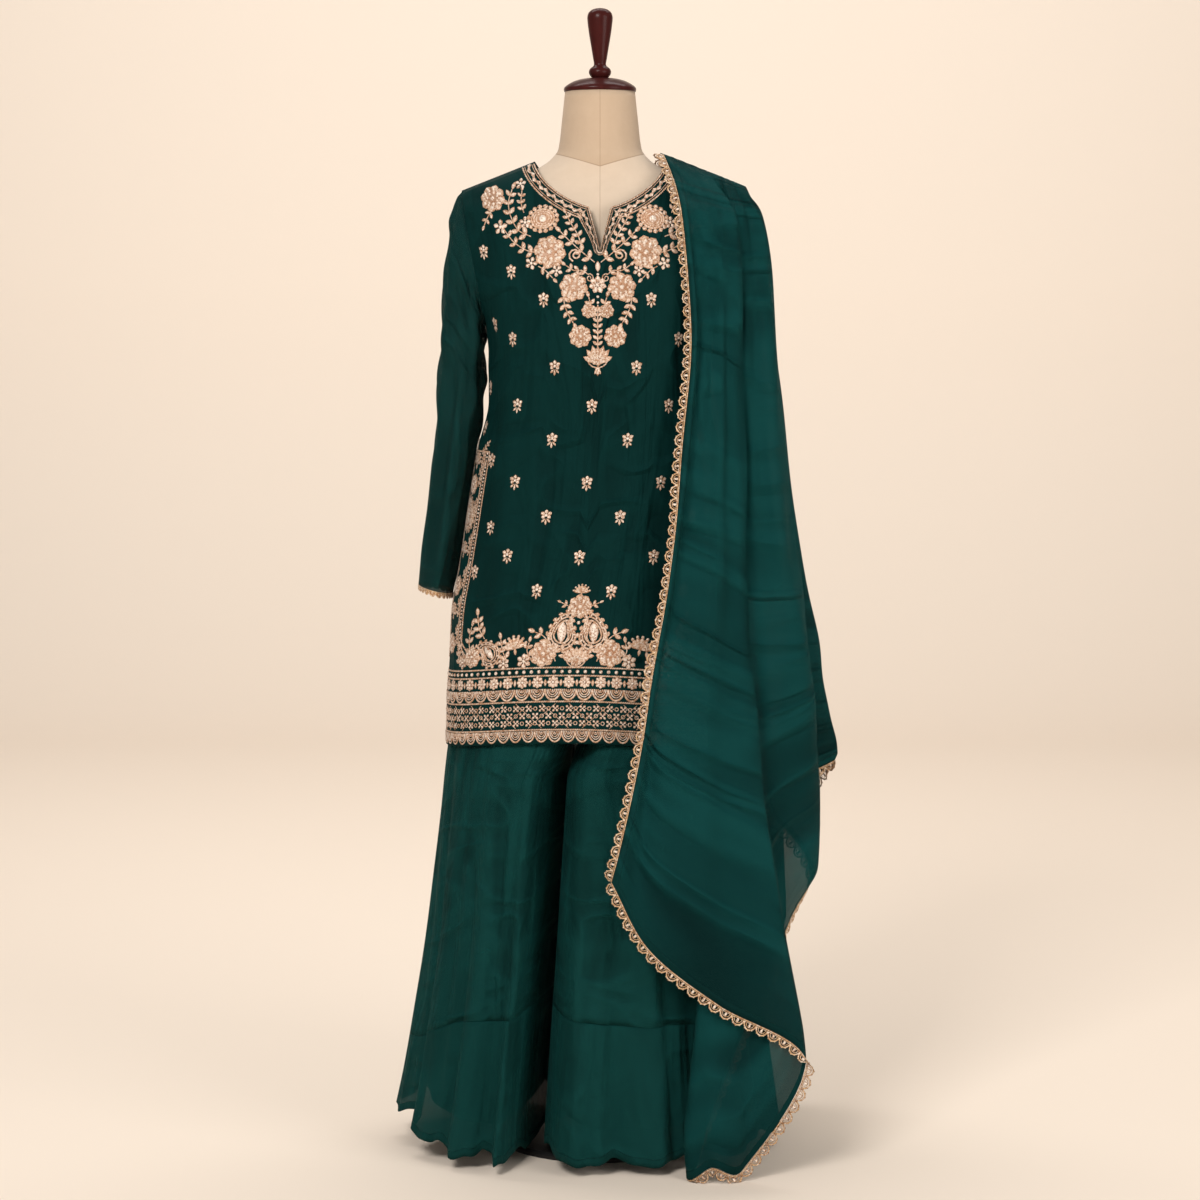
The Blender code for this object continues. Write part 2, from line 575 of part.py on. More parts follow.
def trousers():
    waist = WAIST + SEAM
    for side, name in ((-1, "right"), (1, "left")):
        hem, seam = LEG_EDGES[side]

        def upper(u, row, side=side, seam=seam):
            turn = inseam_turn(u if side < 0 else 1 - u)
            return leg_point(side, turn, row or round_leg(seam, turn) + SEAM)

        def flounce(u, v, side=side, hem=hem, seam=seam):
            turn = u if side < 0 else 1 - u
            ripple = 0.6 * leg_fold(side, turn, 0)
            bottom, top = round_leg(hem, turn) - ripple, round_leg(seam, turn)
            return leg_point(side, turn, bottom + (top - bottom) * v)

        def lining(u, row, side=side, hem=hem):
            turn = inseam_turn(u if side < 0 else 1 - u)
            z = row or round_leg(hem, turn) + LINING_SHORTER
            return leg_point(side, turn, z, lining_inset(z))

        wall(f"trouser_leg_{name}", grid(upper, 28, (0, 0.36, *LEG_ROWS)), GEORGETTE)
        wall(f"trouser_flounce_{name}", grid(flounce, 28, 3, closed=True), GEORGETTE)
        wall(f"trouser_lining_{name}", grid(lining, 20, (0, 0.34, *LEG_ROWS)), LINING)

    def band(u, v):
        z = waist + WAISTBAND_HEIGHT * v
        left, right = between(TROUSER_SECTIONS, "left", z), between(TROUSER_SECTIONS, "right", z)
        angle = 2 * math.pi * u
        depth = between(TROUSER_SECTIONS, "front" if math.cos(angle) > 0 else "back", z)
        x = (left + right) / 2 + (right - left) / 2 * math.sin(angle)
        return x, -math.copysign(depth * superellipse_depth(math.sin(angle), 2.2), math.cos(angle)), z

    wall("trouser_waistband", grid(band, 28, 1, closed=True), GEORGETTE, 0.002)


# --- the dupatta ---------------------------------------------------------------------------------
def fold_lines(folds, side):
    """Each fold line's points. The first two, on and just below the shoulder seam, follow the body."""
    way = -1 if side == "front" else 1
    lines = []
    for reach, *stations in folds.values():
        top = (reach, way * RIDGE_Y, shoulder_line(reach) + DUPATTA_LIFT)
        near = 0.7 * reach + 0.3 * stations[0][0]
        on_body = smooth_step((0.199 - reach) / 0.025)
        near_y = way * 0.045 * on_body + 0.6 * stations[0][1] * (1 - on_body)
        below = (near, near_y, shoulder_line(near) - 0.004)
        lines.append([np.array(point) for point in (top, below, *stations)])
    return lines


def clear_of_suit(point, side, more=0.0):
    """Moves a point of the dupatta out, where it would come too close to the suit under it."""
    x, y, z = point
    way = -1 if side == "front" else 1
    clearance = DUPATTA_CLEARANCE + NECK_BORDER_CLEARANCE * smooth_step((z - 1.27) / 0.04) + more
    if z > KURTA_HEM_FRONT - 0.03:
        reach = kurta_y(x, z, side) if z < shoulder_line(x) or abs(x) > SHOULDER_TIP[0] else 0.0
        reach += clearance if reach else 0.0
    else:
        left, right, depth = (between(TROUSER_SECTIONS, column, z) for column in ("left", "right", side))
        spread = LEG_FOLDS_REACH
        part = (x - (left + right) / 2) / ((right - left) / 2 + spread)
        reach = (depth + spread) * superellipse_depth(part, BODY_ROUNDNESS) if abs(part) < 1 else 0.0
        reach *= smooth_step((z - 0.012) / 0.012)
    y = way * max(way * y, reach) if reach else y
    return np.array([x, y, max(z, FLOOR_CLEARANCE)])


def dupatta_surface(folds, side):
    lines = fold_lines(folds, side)

    def surface(across, down):
        stations = [curve_point(line, down) for line in lines]
        return clear_of_suit(curve_point(stations, across), side)

    return surface


def edge_lace(name, edge, inside, places):
    """A strip of lace along an edge: edge(s) is on it, and inside(s) is a little way into the cloth."""
    side = "front" if "front" in name else "back"

    def strip(s, out_part):
        along = edge(min(s + 0.01, 1)) - edge(max(s - 0.01, 0))
        along /= np.linalg.norm(along)
        out = edge(s) - inside(s)
        out -= along * (out @ along)
        out /= np.linalg.norm(out)
        return clear_of_suit(edge(s) + out * (LACE_GAP + DUPATTA_LACE * (1 - out_part)), side,
                             LACE_CLEARANCE)

    wall(name, grid(strip, places, 1), GOLD)


def dupatta():
    front, back = dupatta_surface(FRONT_FOLDS, "front"), dupatta_surface(BACK_FOLDS, "back")
    up_rows, near_end = DUPATTA_ROWS[::-1], DUPATTA_ROWS[-2]
    wall("dupatta_front", grid(front, FRONT_COLUMNS, up_rows), GEORGETTE)
    wall("dupatta_back", grid(back, BACK_COLUMNS, up_rows), GEORGETTE)
    side_columns = FRONT_COLUMNS[TAIL_COLUMN:].copy()
    side_columns[0] += LACE_CORNER_GAP
    edge_lace("dupatta_lace_front_end", lambda s: front(s, 1), lambda s: front(s, near_end),
              FRONT_COLUMNS[: TAIL_COLUMN + 1])
    edge_lace("dupatta_lace_front_side", lambda s: front(s, 1), lambda s: front(s, near_end),
              side_columns)
    edge_lace("dupatta_lace_front_edge", lambda s: front(0, s), lambda s: front(FRONT_COLUMNS[1], s),
              DUPATTA_ROWS[1:-1])
    edge_lace("dupatta_lace_back_end", lambda s: back(s, 1), lambda s: back(s, near_end), BACK_COLUMNS)
    edge_lace("dupatta_lace_back_edge", lambda s: back(1, s), lambda s: back(BACK_COLUMNS[-2], s),
              up_rows[1:-1])


# --- the dress form ------------------------------------------------------------------------------
def form():
    heights = [section.height for section in TORSO_SECTIONS]
    rows = sorted(heights + [0.81, 0.89, 1.085, 1.15, 1.21, 1.41])

    def torso(u, v):
        z = rows[round(v * (len(rows) - 1))]
        angle = 2 * math.pi * u
        half_width, front, back, roundness = (
            between(TORSO_SECTIONS, column, z) for column in Body._fields[1:]
        )
        sine, cosine = math.sin(angle), math.cos(angle)
        x = half_width * math.copysign(abs(sine) ** (2 / roundness), sine)
        depth = front if cosine > 0 else back
        return x, -depth * math.copysign(abs(cosine) ** (2 / roundness), cosine), z

    bm = grid(torso, 28, len(rows) - 1, closed=True)
    bmesh.ops.holes_fill(bm, edges=bm.edges)
    bmesh.ops.recalc_face_normals(bm, faces=bm.faces)
    place("form_torso", bm, LINEN)

    rim, top = NECK_TOP + 0.0003, 1.4875
    turned("neck_cap", ((0, top), (0.012, top), (0.024, 1.4862), (0.036, 1.4828), (0.045, 1.4780),
                        (0.0490, 1.4745), (0.0500, 1.4720), (0.0495, rim), (0, rim)), MAHOGANY, 28)
    foot = top + 0.0003
    turned("neck_finial", ((0, 1.5825), (0.006, 1.5820), (0.0115, 1.5800), (0.0158, 1.5760),
                           (0.0175, 1.5705), (0.0172, 1.5640), (0.0155, 1.5500), (0.0125, 1.5320),
                           (0.0097, 1.5150), (0.0083, 1.5068), (0.0096, 1.5035), (0.0138, 1.5000),
                           (0.0154, 1.4957), (0.0142, 1.4915), (0.0112, foot), (0, foot)),
           MAHOGANY, 24)
    pole_top = TORSO_BOTTOM - 0.0003
    turned("stand_pole", ((0, pole_top), (POLE_RADIUS, pole_top), (POLE_RADIUS, POLE_BOTTOM),
                          (0, POLE_BOTTOM)), STEEL, 24)
    hub = POLE_BOTTOM - 0.0003
    turned("stand_base", ((0, hub), (0.020, hub), (0.026, 0.0270), (0.030, 0.0160), (0.040, 0.0125),
                          (0.120, 0.0100), (0.141, 0.0085), (BASE_RADIUS, 0.0050), (BASE_RADIUS, 0),
                          (0, 0)), STEEL, 40)


SUIT = clear_scene()
GEORGETTE = material("georgette", (0.006, 0.030, 0.027), 0.85)
LINING = material("lining", (0.004, 0.020, 0.018), 0.6)
GOLD = material("gold_embroidery", (0.52, 0.33, 0.19), 0.45, 0.6)
LINEN = material("linen", (0.62, 0.43, 0.28), 0.9)
MAHOGANY = material("mahogany", (0.06, 0.010, 0.008), 0.2)
STEEL = material("blackened_steel", (0.02, 0.02, 0.02), 0.4, 0.8)

kurta_panels()
neck_border("neck_border_front", front_neckline, "front", has_notch=True)
neck_border("neck_border_back", back_neckline, "back", has_notch=False)
sleeves()
trousers()
dupatta()
form()
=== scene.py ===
"""Salwar kameez suit on a limbless dress form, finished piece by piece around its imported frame.

Metres, +Z up, the wearer faces -Y and the wearer's left is +X. Cloth is laid on grids that follow the
same sections as the frame's solids, with the creases added, and given a thin wall. The embroidery is
drawn in a flat pattern, as petals, beads and cords, and then laid on the cloth.
"""

import math
from collections import namedtuple

import bpy
import numpy as np
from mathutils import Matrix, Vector


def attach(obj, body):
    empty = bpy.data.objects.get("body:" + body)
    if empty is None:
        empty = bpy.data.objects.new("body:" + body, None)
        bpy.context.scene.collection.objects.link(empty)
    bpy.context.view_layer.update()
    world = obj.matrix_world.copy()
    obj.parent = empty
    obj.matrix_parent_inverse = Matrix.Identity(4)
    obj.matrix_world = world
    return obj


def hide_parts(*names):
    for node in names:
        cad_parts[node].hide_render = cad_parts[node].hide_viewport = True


bl_info = {
    "name": "Salwar Kameez Suit",
    "version": (1, 0, 0),
    "blender": (4, 5, 0),
    "location": "View3D > Sidebar > Suit",
    "description": "Makes an embroidered salwar kameez suit on a dress form",
    "category": "Object",
}

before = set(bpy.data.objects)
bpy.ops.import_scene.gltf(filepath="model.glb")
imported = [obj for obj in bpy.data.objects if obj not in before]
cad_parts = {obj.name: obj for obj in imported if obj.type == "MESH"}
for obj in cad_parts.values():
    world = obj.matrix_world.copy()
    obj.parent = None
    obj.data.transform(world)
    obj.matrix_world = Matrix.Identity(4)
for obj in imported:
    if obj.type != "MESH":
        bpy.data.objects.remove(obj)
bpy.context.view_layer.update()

# --- sizes that the cloth and its frame share ---
SHOULDER_SLOPE = 0.394
NECK_POINT = (0.0898, 1.3728)
SHOULDER_TIP = (0.191, 1.333)
UNDERARM = (0.158, 1.150)
ARMHOLE_HALF_DEPTH = 0.060
BODY_ROUNDNESS = 2.2
FRONT_NECK_DROP = 0.067
FRONT_NECK_EXPONENT = 1.6
BACK_NECK_DROP = 0.020
NOTCH_HALF_WIDTH = 0.0145
NOTCH_BOTTOM = 1.250
KURTA_HEM_FRONT = 0.584
KURTA_HEM_RISE = 0.018
KURTA_BACK_HEM = 0.590
SLIT_TOP = 0.975
SLIT_OPENING = 0.012
TWIST_AT_HEM = 7.6
SEAM = 0.0004
SIDES = ((-1, "right"), (1, "left"))
CROTCH = 0.585
RISE_HEIGHT = 0.115
LEG_CORNER = 0.055
LEG_GAP = 0.0035
WAIST = 0.930
WAISTBAND_HEIGHT = 0.032
LINING_SHORTER = 0.030
NECK_TOP = 1.4687

Depth = namedtuple("Depth", "height front back")
KURTA_DEPTHS = (
    Depth(0.566, 0.158, 0.150), Depth(0.700, 0.150, 0.142), Depth(0.820, 0.142, 0.136),
    Depth(0.905, 0.132, 0.122), Depth(0.980, 0.127, 0.108), Depth(1.050, 0.132, 0.104),
    Depth(1.120, 0.137, 0.106), Depth(1.180, 0.131, 0.108), Depth(1.240, 0.117, 0.106),
    Depth(1.300, 0.098, 0.098), Depth(1.335, 0.080, 0.086), Depth(1.375, 0.064, 0.070),
)

Side = namedtuple("Side", "height left right")
KURTA_SIDES = (  # side seams below the underarm: the wearer's right is -X
    Side(0.566, -0.2150, 0.1950), Side(0.624, -0.2135, 0.1940), Side(0.695, -0.2090, 0.1910),
    Side(0.751, -0.2060, 0.1900), Side(0.821, -0.1940, 0.1820), Side(0.905, -0.1814, 0.1740),
    Side(0.975, -0.1700, 0.1660), Side(1.045, -0.1540, 0.1530), Side(1.110, -0.1540, 0.1540),
    Side(1.150, -0.1580, 0.1580),
)

Hip = namedtuple("Hip", "height left right front back split")
TROUSER_SECTIONS = (  # both legs together, and where the line between them runs
    Hip(0.030, -0.281, 0.247, 0.216, 0.202, -0.066), Hip(0.100, -0.267, 0.238, 0.207, 0.193, -0.062),
    Hip(0.200, -0.252, 0.225, 0.194, 0.181, -0.056), Hip(0.296, -0.239, 0.214, 0.182, 0.170, -0.050),
    Hip(0.382, -0.230, 0.205, 0.172, 0.161, -0.045), Hip(0.468, -0.221, 0.197, 0.163, 0.153, -0.040),
    Hip(0.553, -0.213, 0.190, 0.153, 0.144, -0.035), Hip(0.600, -0.206, 0.187, 0.147, 0.139, -0.032),
    Hip(0.700, -0.196, 0.182, 0.140, 0.133, -0.022), Hip(0.800, -0.180, 0.170, 0.130, 0.123, -0.012),
    Hip(0.962, -0.136, 0.136, 0.110, 0.097, 0.000),
)

Edge = namedtuple("Edge", "name front outer back inner")
LEG_EDGES = {  # heights at four points round a leg: the wearer's right leg first
    -1: (Edge("hem", 0.031, 0.056, 0.046, 0.040), Edge("seam", 0.203, 0.150, 0.190, 0.222)),
    1: (Edge("hem", 0.029, 0.036, 0.046, 0.040), Edge("seam", 0.200, 0.165, 0.190, 0.218)),
}

Ring = namedtuple("Ring", "outer_x outer_z inner_x inner_z centre_y half_depth")
SLEEVE_RINGS = (  # from the armhole to the cuff, on the wearer's left
    Ring(0.1935, 1.3330, 0.1612, 1.1490, 0.000, 0.0600), Ring(0.2038, 1.3000, 0.1612, 1.1370, 0.000, 0.0610),
    Ring(0.2085, 1.2740, 0.1614, 1.1260, 0.000, 0.0615), Ring(0.2160, 1.2050, 0.1618, 1.0970, 0.001, 0.0620),
    Ring(0.2222, 1.1140, 0.1632, 1.0450, 0.002, 0.0620), Ring(0.2290, 1.0000, 0.1765, 0.9600, 0.004, 0.0600),
    Ring(0.2395, 0.9000, 0.1905, 0.8780, 0.006, 0.0580), Ring(0.2535, 0.7880, 0.2068, 0.7760, 0.008, 0.0560),
)

Body = namedtuple("Body", "height half_width front back roundness")
TORSO_SECTIONS = (
    Body(0.715, 0.088, 0.066, 0.068, 2.0), Body(0.722, 0.120, 0.090, 0.092, 2.1),
    Body(0.738, 0.138, 0.103, 0.105, 2.2), Body(0.775, 0.148, 0.107, 0.105, 2.2),
    Body(0.850, 0.141, 0.103, 0.098, 2.2), Body(0.930, 0.122, 0.096, 0.084, 2.2),
    Body(0.985, 0.115, 0.095, 0.081, 2.2), Body(1.050, 0.122, 0.104, 0.083, 2.2),
    Body(1.120, 0.136, 0.118, 0.088, 2.2), Body(1.180, 0.144, 0.115, 0.092, 2.2),
    Body(1.240, 0.153, 0.101, 0.092, 2.4), Body(1.285, 0.164, 0.088, 0.087, 2.5),
    Body(1.312, 0.173, 0.079, 0.081, 2.3), Body(1.328, 0.178, 0.072, 0.077, 2.0),
    Body(1.340, 0.148, 0.065, 0.071, 2.0), Body(1.353, 0.113, 0.060, 0.066, 2.0),
    Body(1.366, 0.082, 0.0585, 0.063, 2.0), Body(1.377, 0.067, 0.0585, 0.061, 2.0),
    Body(1.390, 0.0575, 0.0560, 0.0585, 2.0), Body(1.430, 0.0524, 0.0520, 0.0540, 2.0),
    Body(NECK_TOP, 0.0483, 0.0483, 0.0490, 2.0),
)

# A fold line of the dupatta runs from the shoulder down to the cloth's edge. The first number is its
# half-width on the shoulder, and the stations after it are (x, y, z), at matching places on each line.
FRONT_FOLDS = {
    "inner edge": (0.084, (0.107, -0.099, 1.297), (0.1185, -0.115, 1.129), (0.103, -0.134, 0.950),
        (0.088, -0.152, 0.800), (0.066, -0.167, 0.660), (0.044, -0.186, 0.530),
        (0.016, -0.203, 0.404)),
    "first ridge": (0.104, (0.130, -0.094, 1.290), (0.138, -0.108, 1.125), (0.126, -0.127, 0.940),
        (0.112, -0.147, 0.785), (0.094, -0.166, 0.635), (0.078, -0.187, 0.480),
        (0.066, -0.212, 0.314)),
    "soft valley": (0.124, (0.157, -0.087, 1.282), (0.164, -0.098, 1.115), (0.161, -0.113, 0.925),
        (0.158, -0.131, 0.760), (0.156, -0.148, 0.600), (0.156, -0.175, 0.430),
        (0.160, -0.222, 0.240)),
    "front fold": (0.143, (0.184, -0.081, 1.276), (0.188, -0.094, 1.100), (0.194, -0.101, 0.905),
        (0.199, -0.118, 0.735), (0.213, -0.138, 0.575), (0.236, -0.178, 0.390),
        (0.276, -0.228, 0.164)),
    "tucked layer": (0.151, (0.179, -0.075, 1.273), (0.181, -0.087, 1.100), (0.184, -0.094, 0.905),
        (0.184, -0.110, 0.735), (0.187, -0.130, 0.565), (0.198, -0.172, 0.350),
        (0.196, -0.230, 0.021)),
    "tucked fold": (0.158, (0.175, -0.071, 1.271), (0.175, -0.081, 1.100), (0.171, -0.088, 0.905),
        (0.164, -0.103, 0.735), (0.155, -0.124, 0.565), (0.145, -0.170, 0.350),
        (0.152, -0.245, 0.023)),
    "tail corner": (0.165, (0.181, -0.067, 1.270), (0.184, -0.074, 1.100), (0.184, -0.080, 0.905),
        (0.182, -0.092, 0.735), (0.176, -0.109, 0.570), (0.160, -0.160, 0.360),
        (0.126, -0.214, 0.024)),
    "arm front": (0.176, (0.198, -0.064, 1.270), (0.207, -0.071, 1.100), (0.215, -0.074, 0.900),
        (0.227, -0.082, 0.730), (0.237, -0.088, 0.590), (0.244, -0.094, 0.450),
        (0.250, -0.100, 0.312)),
    "arm fold": (0.185, (0.212, -0.042, 1.270), (0.227, -0.048, 1.100), (0.244, -0.053, 0.905),
        (0.268, -0.050, 0.735), (0.286, -0.040, 0.620), (0.291, -0.030, 0.500),
        (0.290, -0.022, 0.392)),
    "arm valley": (0.192, (0.214, -0.018, 1.270), (0.230, -0.012, 1.100), (0.252, -0.008, 0.900),
        (0.262, 0.000, 0.740), (0.250, 0.010, 0.640), (0.243, 0.016, 0.560),
        (0.238, 0.020, 0.480)),
    "side tip": (0.198, (0.2155, 0.004, 1.270), (0.2375, 0.020, 1.100), (0.263, 0.034, 0.900),
        (0.290, 0.044, 0.740), (0.307, 0.048, 0.645), (0.321, 0.050, 0.580),
        (0.332, 0.050, 0.532)),
}
BACK_FOLDS = {
    "side tip": (0.198, (0.2155, 0.0065, 1.270), (0.2370, 0.0225, 1.100), (0.2620, 0.0365, 0.900),
        (0.2890, 0.0470, 0.740), (0.3060, 0.0520, 0.645), (0.3200, 0.0550, 0.580),
        (0.3310, 0.0570, 0.532)),
    "arm back": (0.190, (0.207, 0.048, 1.270), (0.220, 0.072, 1.100), (0.240, 0.082, 0.900),
        (0.264, 0.090, 0.740), (0.284, 0.093, 0.630), (0.298, 0.094, 0.555),
        (0.308, 0.094, 0.495)),
    "back valley": (0.178, (0.190, 0.074, 1.270), (0.199, 0.086, 1.100), (0.212, 0.098, 0.900),
        (0.223, 0.108, 0.730), (0.232, 0.116, 0.590), (0.239, 0.122, 0.480),
        (0.245, 0.126, 0.390)),
    "back fold": (0.160, (0.171, 0.094, 1.270), (0.182, 0.112, 1.100), (0.197, 0.132, 0.900),
        (0.212, 0.152, 0.720), (0.229, 0.173, 0.530), (0.245, 0.194, 0.360),
        (0.256, 0.207, 0.215)),
    "second valley": (0.140, (0.149, 0.093, 1.270), (0.155, 0.106, 1.100), (0.161, 0.122, 0.900),
        (0.167, 0.140, 0.700), (0.173, 0.160, 0.490), (0.180, 0.184, 0.290),
        (0.186, 0.203, 0.125)),
    "second fold": (0.114, (0.124, 0.103, 1.270), (0.125, 0.122, 1.090), (0.122, 0.140, 0.880),
        (0.118, 0.162, 0.670), (0.112, 0.186, 0.460), (0.105, 0.210, 0.260),
        (0.098, 0.226, 0.110)),
    "inner back edge": (0.084, (0.098, 0.096, 1.280), (0.100, 0.115, 1.090), (0.090, 0.133, 0.880),
        (0.078, 0.153, 0.670), (0.064, 0.175, 0.460), (0.048, 0.198, 0.270),
        (0.034, 0.214, 0.130)),
}
DUPATTA_LIFT = 0.0095
DUPATTA_CLEARANCE = 0.0065
NECK_BORDER_CLEARANCE = 0.0050
LEG_FOLDS_REACH = 0.0125
FLOUNCE_DROP = 0.010
INSEAM_SLANT = 0.24  # how far the gap between the legs turns aside, so that one leg overlaps the other
INSEAM_REACH = 0.060
SLEEVE_TUCK = 0.004  # how far the sleeve head reaches inside the armhole seam
HEM_BAND = 0.011
HEM_STITCH = 0.0006
NECK_SEAM_HEIGHT = 1.3646
CLOTH_WALL = 0.0007


# --- numbers and curves ---
def spline_slopes(places, values):
    """Slopes at a table's rows for a curve that never overshoots them."""
    steps = np.diff(values) / np.diff(places)
    slopes = np.zeros(len(values))
    slopes[0], slopes[-1] = steps[0], steps[-1]
    before, after = steps[:-1], steps[1:]
    same_way = before * after > 0
    slopes[1:-1][same_way] = 2 * (before * after)[same_way] / (before + after)[same_way]
    return slopes


FINE = {}  # each table's columns, read once at close steps


def between(rows, column, at):
    """A table's column at heights between its rows. It takes one height or an array of them."""
    key = (id(rows), column)
    if key not in FINE:
        places = np.array([row.height for row in rows])
        values = np.array([getattr(row, column) for row in rows])
        slopes = spline_slopes(places, values)
        fine = np.linspace(places[0], places[-1], 1500)
        i = np.clip(np.searchsorted(places, fine) - 1, 0, len(rows) - 2)
        span = places[i + 1] - places[i]
        t = (fine - places[i]) / span
        rise = values[i + 1] - values[i]
        low, high = slopes[i] * span, slopes[i + 1] * span
        curve = values[i] + t * low + t * t * (3 * rise - 2 * low - high) + t**3 * (low + high - 2 * rise)
        FINE[key] = (fine, curve)
    return np.interp(at, *FINE[key])


def curve_points(points, t):
    """Points at the places t, from 0 to 1, of the smooth curve through the points."""
    points, t = np.asarray(points, float), np.atleast_1d(t)
    last = len(points) - 1
    place = np.clip(t, 0, 1) * last
    i = np.minimum(place.astype(int), last - 1)
    f = (place - i).reshape((-1,) + (1,) * (points.ndim - 1))
    a, b = points[i], points[i + 1]
    before = np.where((i > 0).reshape(f.shape), points[np.maximum(i - 1, 0)], 2 * a - b)
    after = np.where((i + 2 <= last).reshape(f.shape), points[np.minimum(i + 2, last)], 2 * b - a)
    return 0.5 * (
        2 * a + (b - before) * f + (2 * before - 5 * a + 4 * b - after) * f**2
        + (3 * a - before - 3 * b + after) * f**3
    )


def smooth_step(value):
    value = np.clip(value, 0, 1)
    return value * value * (3 - 2 * value)


def rounded(part, roundness):
    """Depth of a rounded section, from 1 on its centre line to 0 at its side."""
    return np.maximum(0, 1 - np.minimum(np.abs(part), 1) ** roundness) ** (1 / roundness)


def unit(vectors):
    return vectors / np.maximum(np.linalg.norm(vectors, axis=-1, keepdims=True), 1e-12)


def surface_normals(points):
    """Unit normals of a grid of points (rows, columns, 3), by the change along rows and columns."""
    return unit(np.cross(np.gradient(points, axis=1), np.gradient(points, axis=0)))


def normal_at(surface, u, v, step):
    """Unit normals of a surface given as a function of (u, v), by small steps across and up."""
    across = surface(u + step, v) - surface(u - step, v)
    return unit(np.cross(across, surface(u, v + step) - surface(u, v - step)))


def distance_along(path):
    """How far each point of a path is from its start, measured along it."""
    return np.concatenate([[0], np.cumsum(np.linalg.norm(np.diff(path, axis=0), axis=1))])


def read_along(places, values, u):
    """The rows of values at the distances u, where their own distances are the places."""
    return np.stack([np.interp(u, places, column) for column in values.T], axis=-1)


Crease = namedtuple("Crease", "top_x top_z low_x low_z width depth")


def creases(table, x, z):
    """Sum of soft ridges, or troughs where depth is below 0, each fading in and out along its line."""
    total = np.zeros(np.broadcast(x, z).shape)
    for crease in table:
        dx, dz = crease.low_x - crease.top_x, crease.low_z - crease.top_z
        length = math.hypot(dx, dz)
        along = ((x - crease.top_x) * dx + (z - crease.top_z) * dz) / length**2
        away = ((x - crease.top_x) * dz - (z - crease.top_z) * dx) / length
        ends = smooth_step(along / 0.25) * smooth_step((1 - along) / 0.25)
        total += crease.depth * np.exp(-((away / crease.width) ** 2)) * ends
    return total


# --- the kurta's surface ---
def shoulder_line(x):
    return NECK_POINT[1] - (np.abs(x) - NECK_POINT[0]) * SHOULDER_SLOPE


def front_neckline(x):
    x = np.abs(x)
    curve = NECK_POINT[1] - FRONT_NECK_DROP * rounded(x / NECK_POINT[0], FRONT_NECK_EXPONENT)
    corner_part = NOTCH_HALF_WIDTH / NECK_POINT[0]
    corner = NECK_POINT[1] - FRONT_NECK_DROP * rounded(corner_part, FRONT_NECK_EXPONENT)
    notch = NOTCH_BOTTOM + (corner - NOTCH_BOTTOM) * x / NOTCH_HALF_WIDTH
    return np.where(x < NOTCH_HALF_WIDTH, notch, curve)


def back_neckline(x):
    return NECK_POINT[1] - BACK_NECK_DROP * rounded(np.abs(x) / NECK_POINT[0], 2)


def armhole_half_depth(z):
    middle = (UNDERARM[1] + SHOULDER_TIP[1]) / 2
    part = (z - middle) / (SHOULDER_TIP[1] - middle)
    return ARMHOLE_HALF_DEPTH * np.sqrt(np.maximum(0, 1 - part * part))


def kurta_width(z):
    """(centre, half-width) of a kurta panel at this height: side seams, armholes, then straight up."""
    left, right = between(KURTA_SIDES, "left", z), between(KURTA_SIDES, "right", z)
    up = np.clip((z - UNDERARM[1]) / (SHOULDER_TIP[1] - UNDERARM[1]), 0, 1)
    above = UNDERARM[0] + up * (SHOULDER_TIP[0] - UNDERARM[0])
    low = z <= UNDERARM[1]
    return np.where(low, (left + right) / 2, 0), np.where(low, (right - left) / 2, above)


def kurta_depth(x, z, side):
    depth = between(KURTA_DEPTHS, side, z)
    centre, half_width = kurta_width(z)
    edge = np.minimum(armhole_half_depth(z) / depth, 0.99) ** BODY_ROUNDNESS
    armhole = half_width / (1 - edge) ** (1 / BODY_ROUNDNESS)
    half_width = np.where(z > UNDERARM[1], armhole, half_width)
    shoulder = NECK_POINT[0] + (NECK_POINT[1] - z) / SHOULDER_SLOPE
    half_width = np.maximum(np.where(z > SHOULDER_TIP[1], shoulder, half_width), 0.02)
    return depth * rounded((x - centre) / half_width, BODY_ROUNDNESS)


def twist(z):
    return TWIST_AT_HEM * smooth_step((UNDERARM[1] - z) / (UNDERARM[1] - KURTA_HEM_FRONT))


def slit_shift(z, across):
    return SLIT_OPENING / 2 * smooth_step((SLIT_TOP - z) / 0.2) * np.abs(across) ** 6


def panel_top(across, neckline):
    """Height of a panel's top: its neckline, and the shoulder line beyond it."""
    def top(x):
        return np.where(np.abs(x) >= NECK_POINT[0], shoulder_line(x), neckline(x))

    z = top(across * SHOULDER_TIP[0])
    for _ in range(8):
        centre, half_width = kurta_width(z)
        z = top(centre + half_width * across)
    return z


def front_base(across, z):
    """The front panel's inner face, before its creases, at a part of its half-width and a height."""
    centre, half_width = kurta_width(z)
    turn = twist(z)
    angle = np.arcsin(np.clip(across, -1, 1)) * (90 - turn) / 90 - np.radians(turn)
    x = centre + half_width * np.sin(angle)
    y = -kurta_depth(x, z, "front") - SEAM / 2 - slit_shift(z, across)
    return np.stack([x, y, z + 0 * x], axis=-1)


def back_base(across, z):
    centre, half_width = kurta_width(z)
    turn = twist(z)
    angle = math.pi - np.radians(turn) - np.arcsin(np.clip(across, -1, 1)) * (90 + turn) / 90
    x = centre + half_width * np.sin(angle)
    round_front = np.cos(angle) > 1e-6
    y = np.where(round_front, -kurta_depth(x, z, "front"), kurta_depth(x, z, "back"))
    return np.stack([x, y + SEAM / 2 + slit_shift(z, across), z + 0 * x], axis=-1)


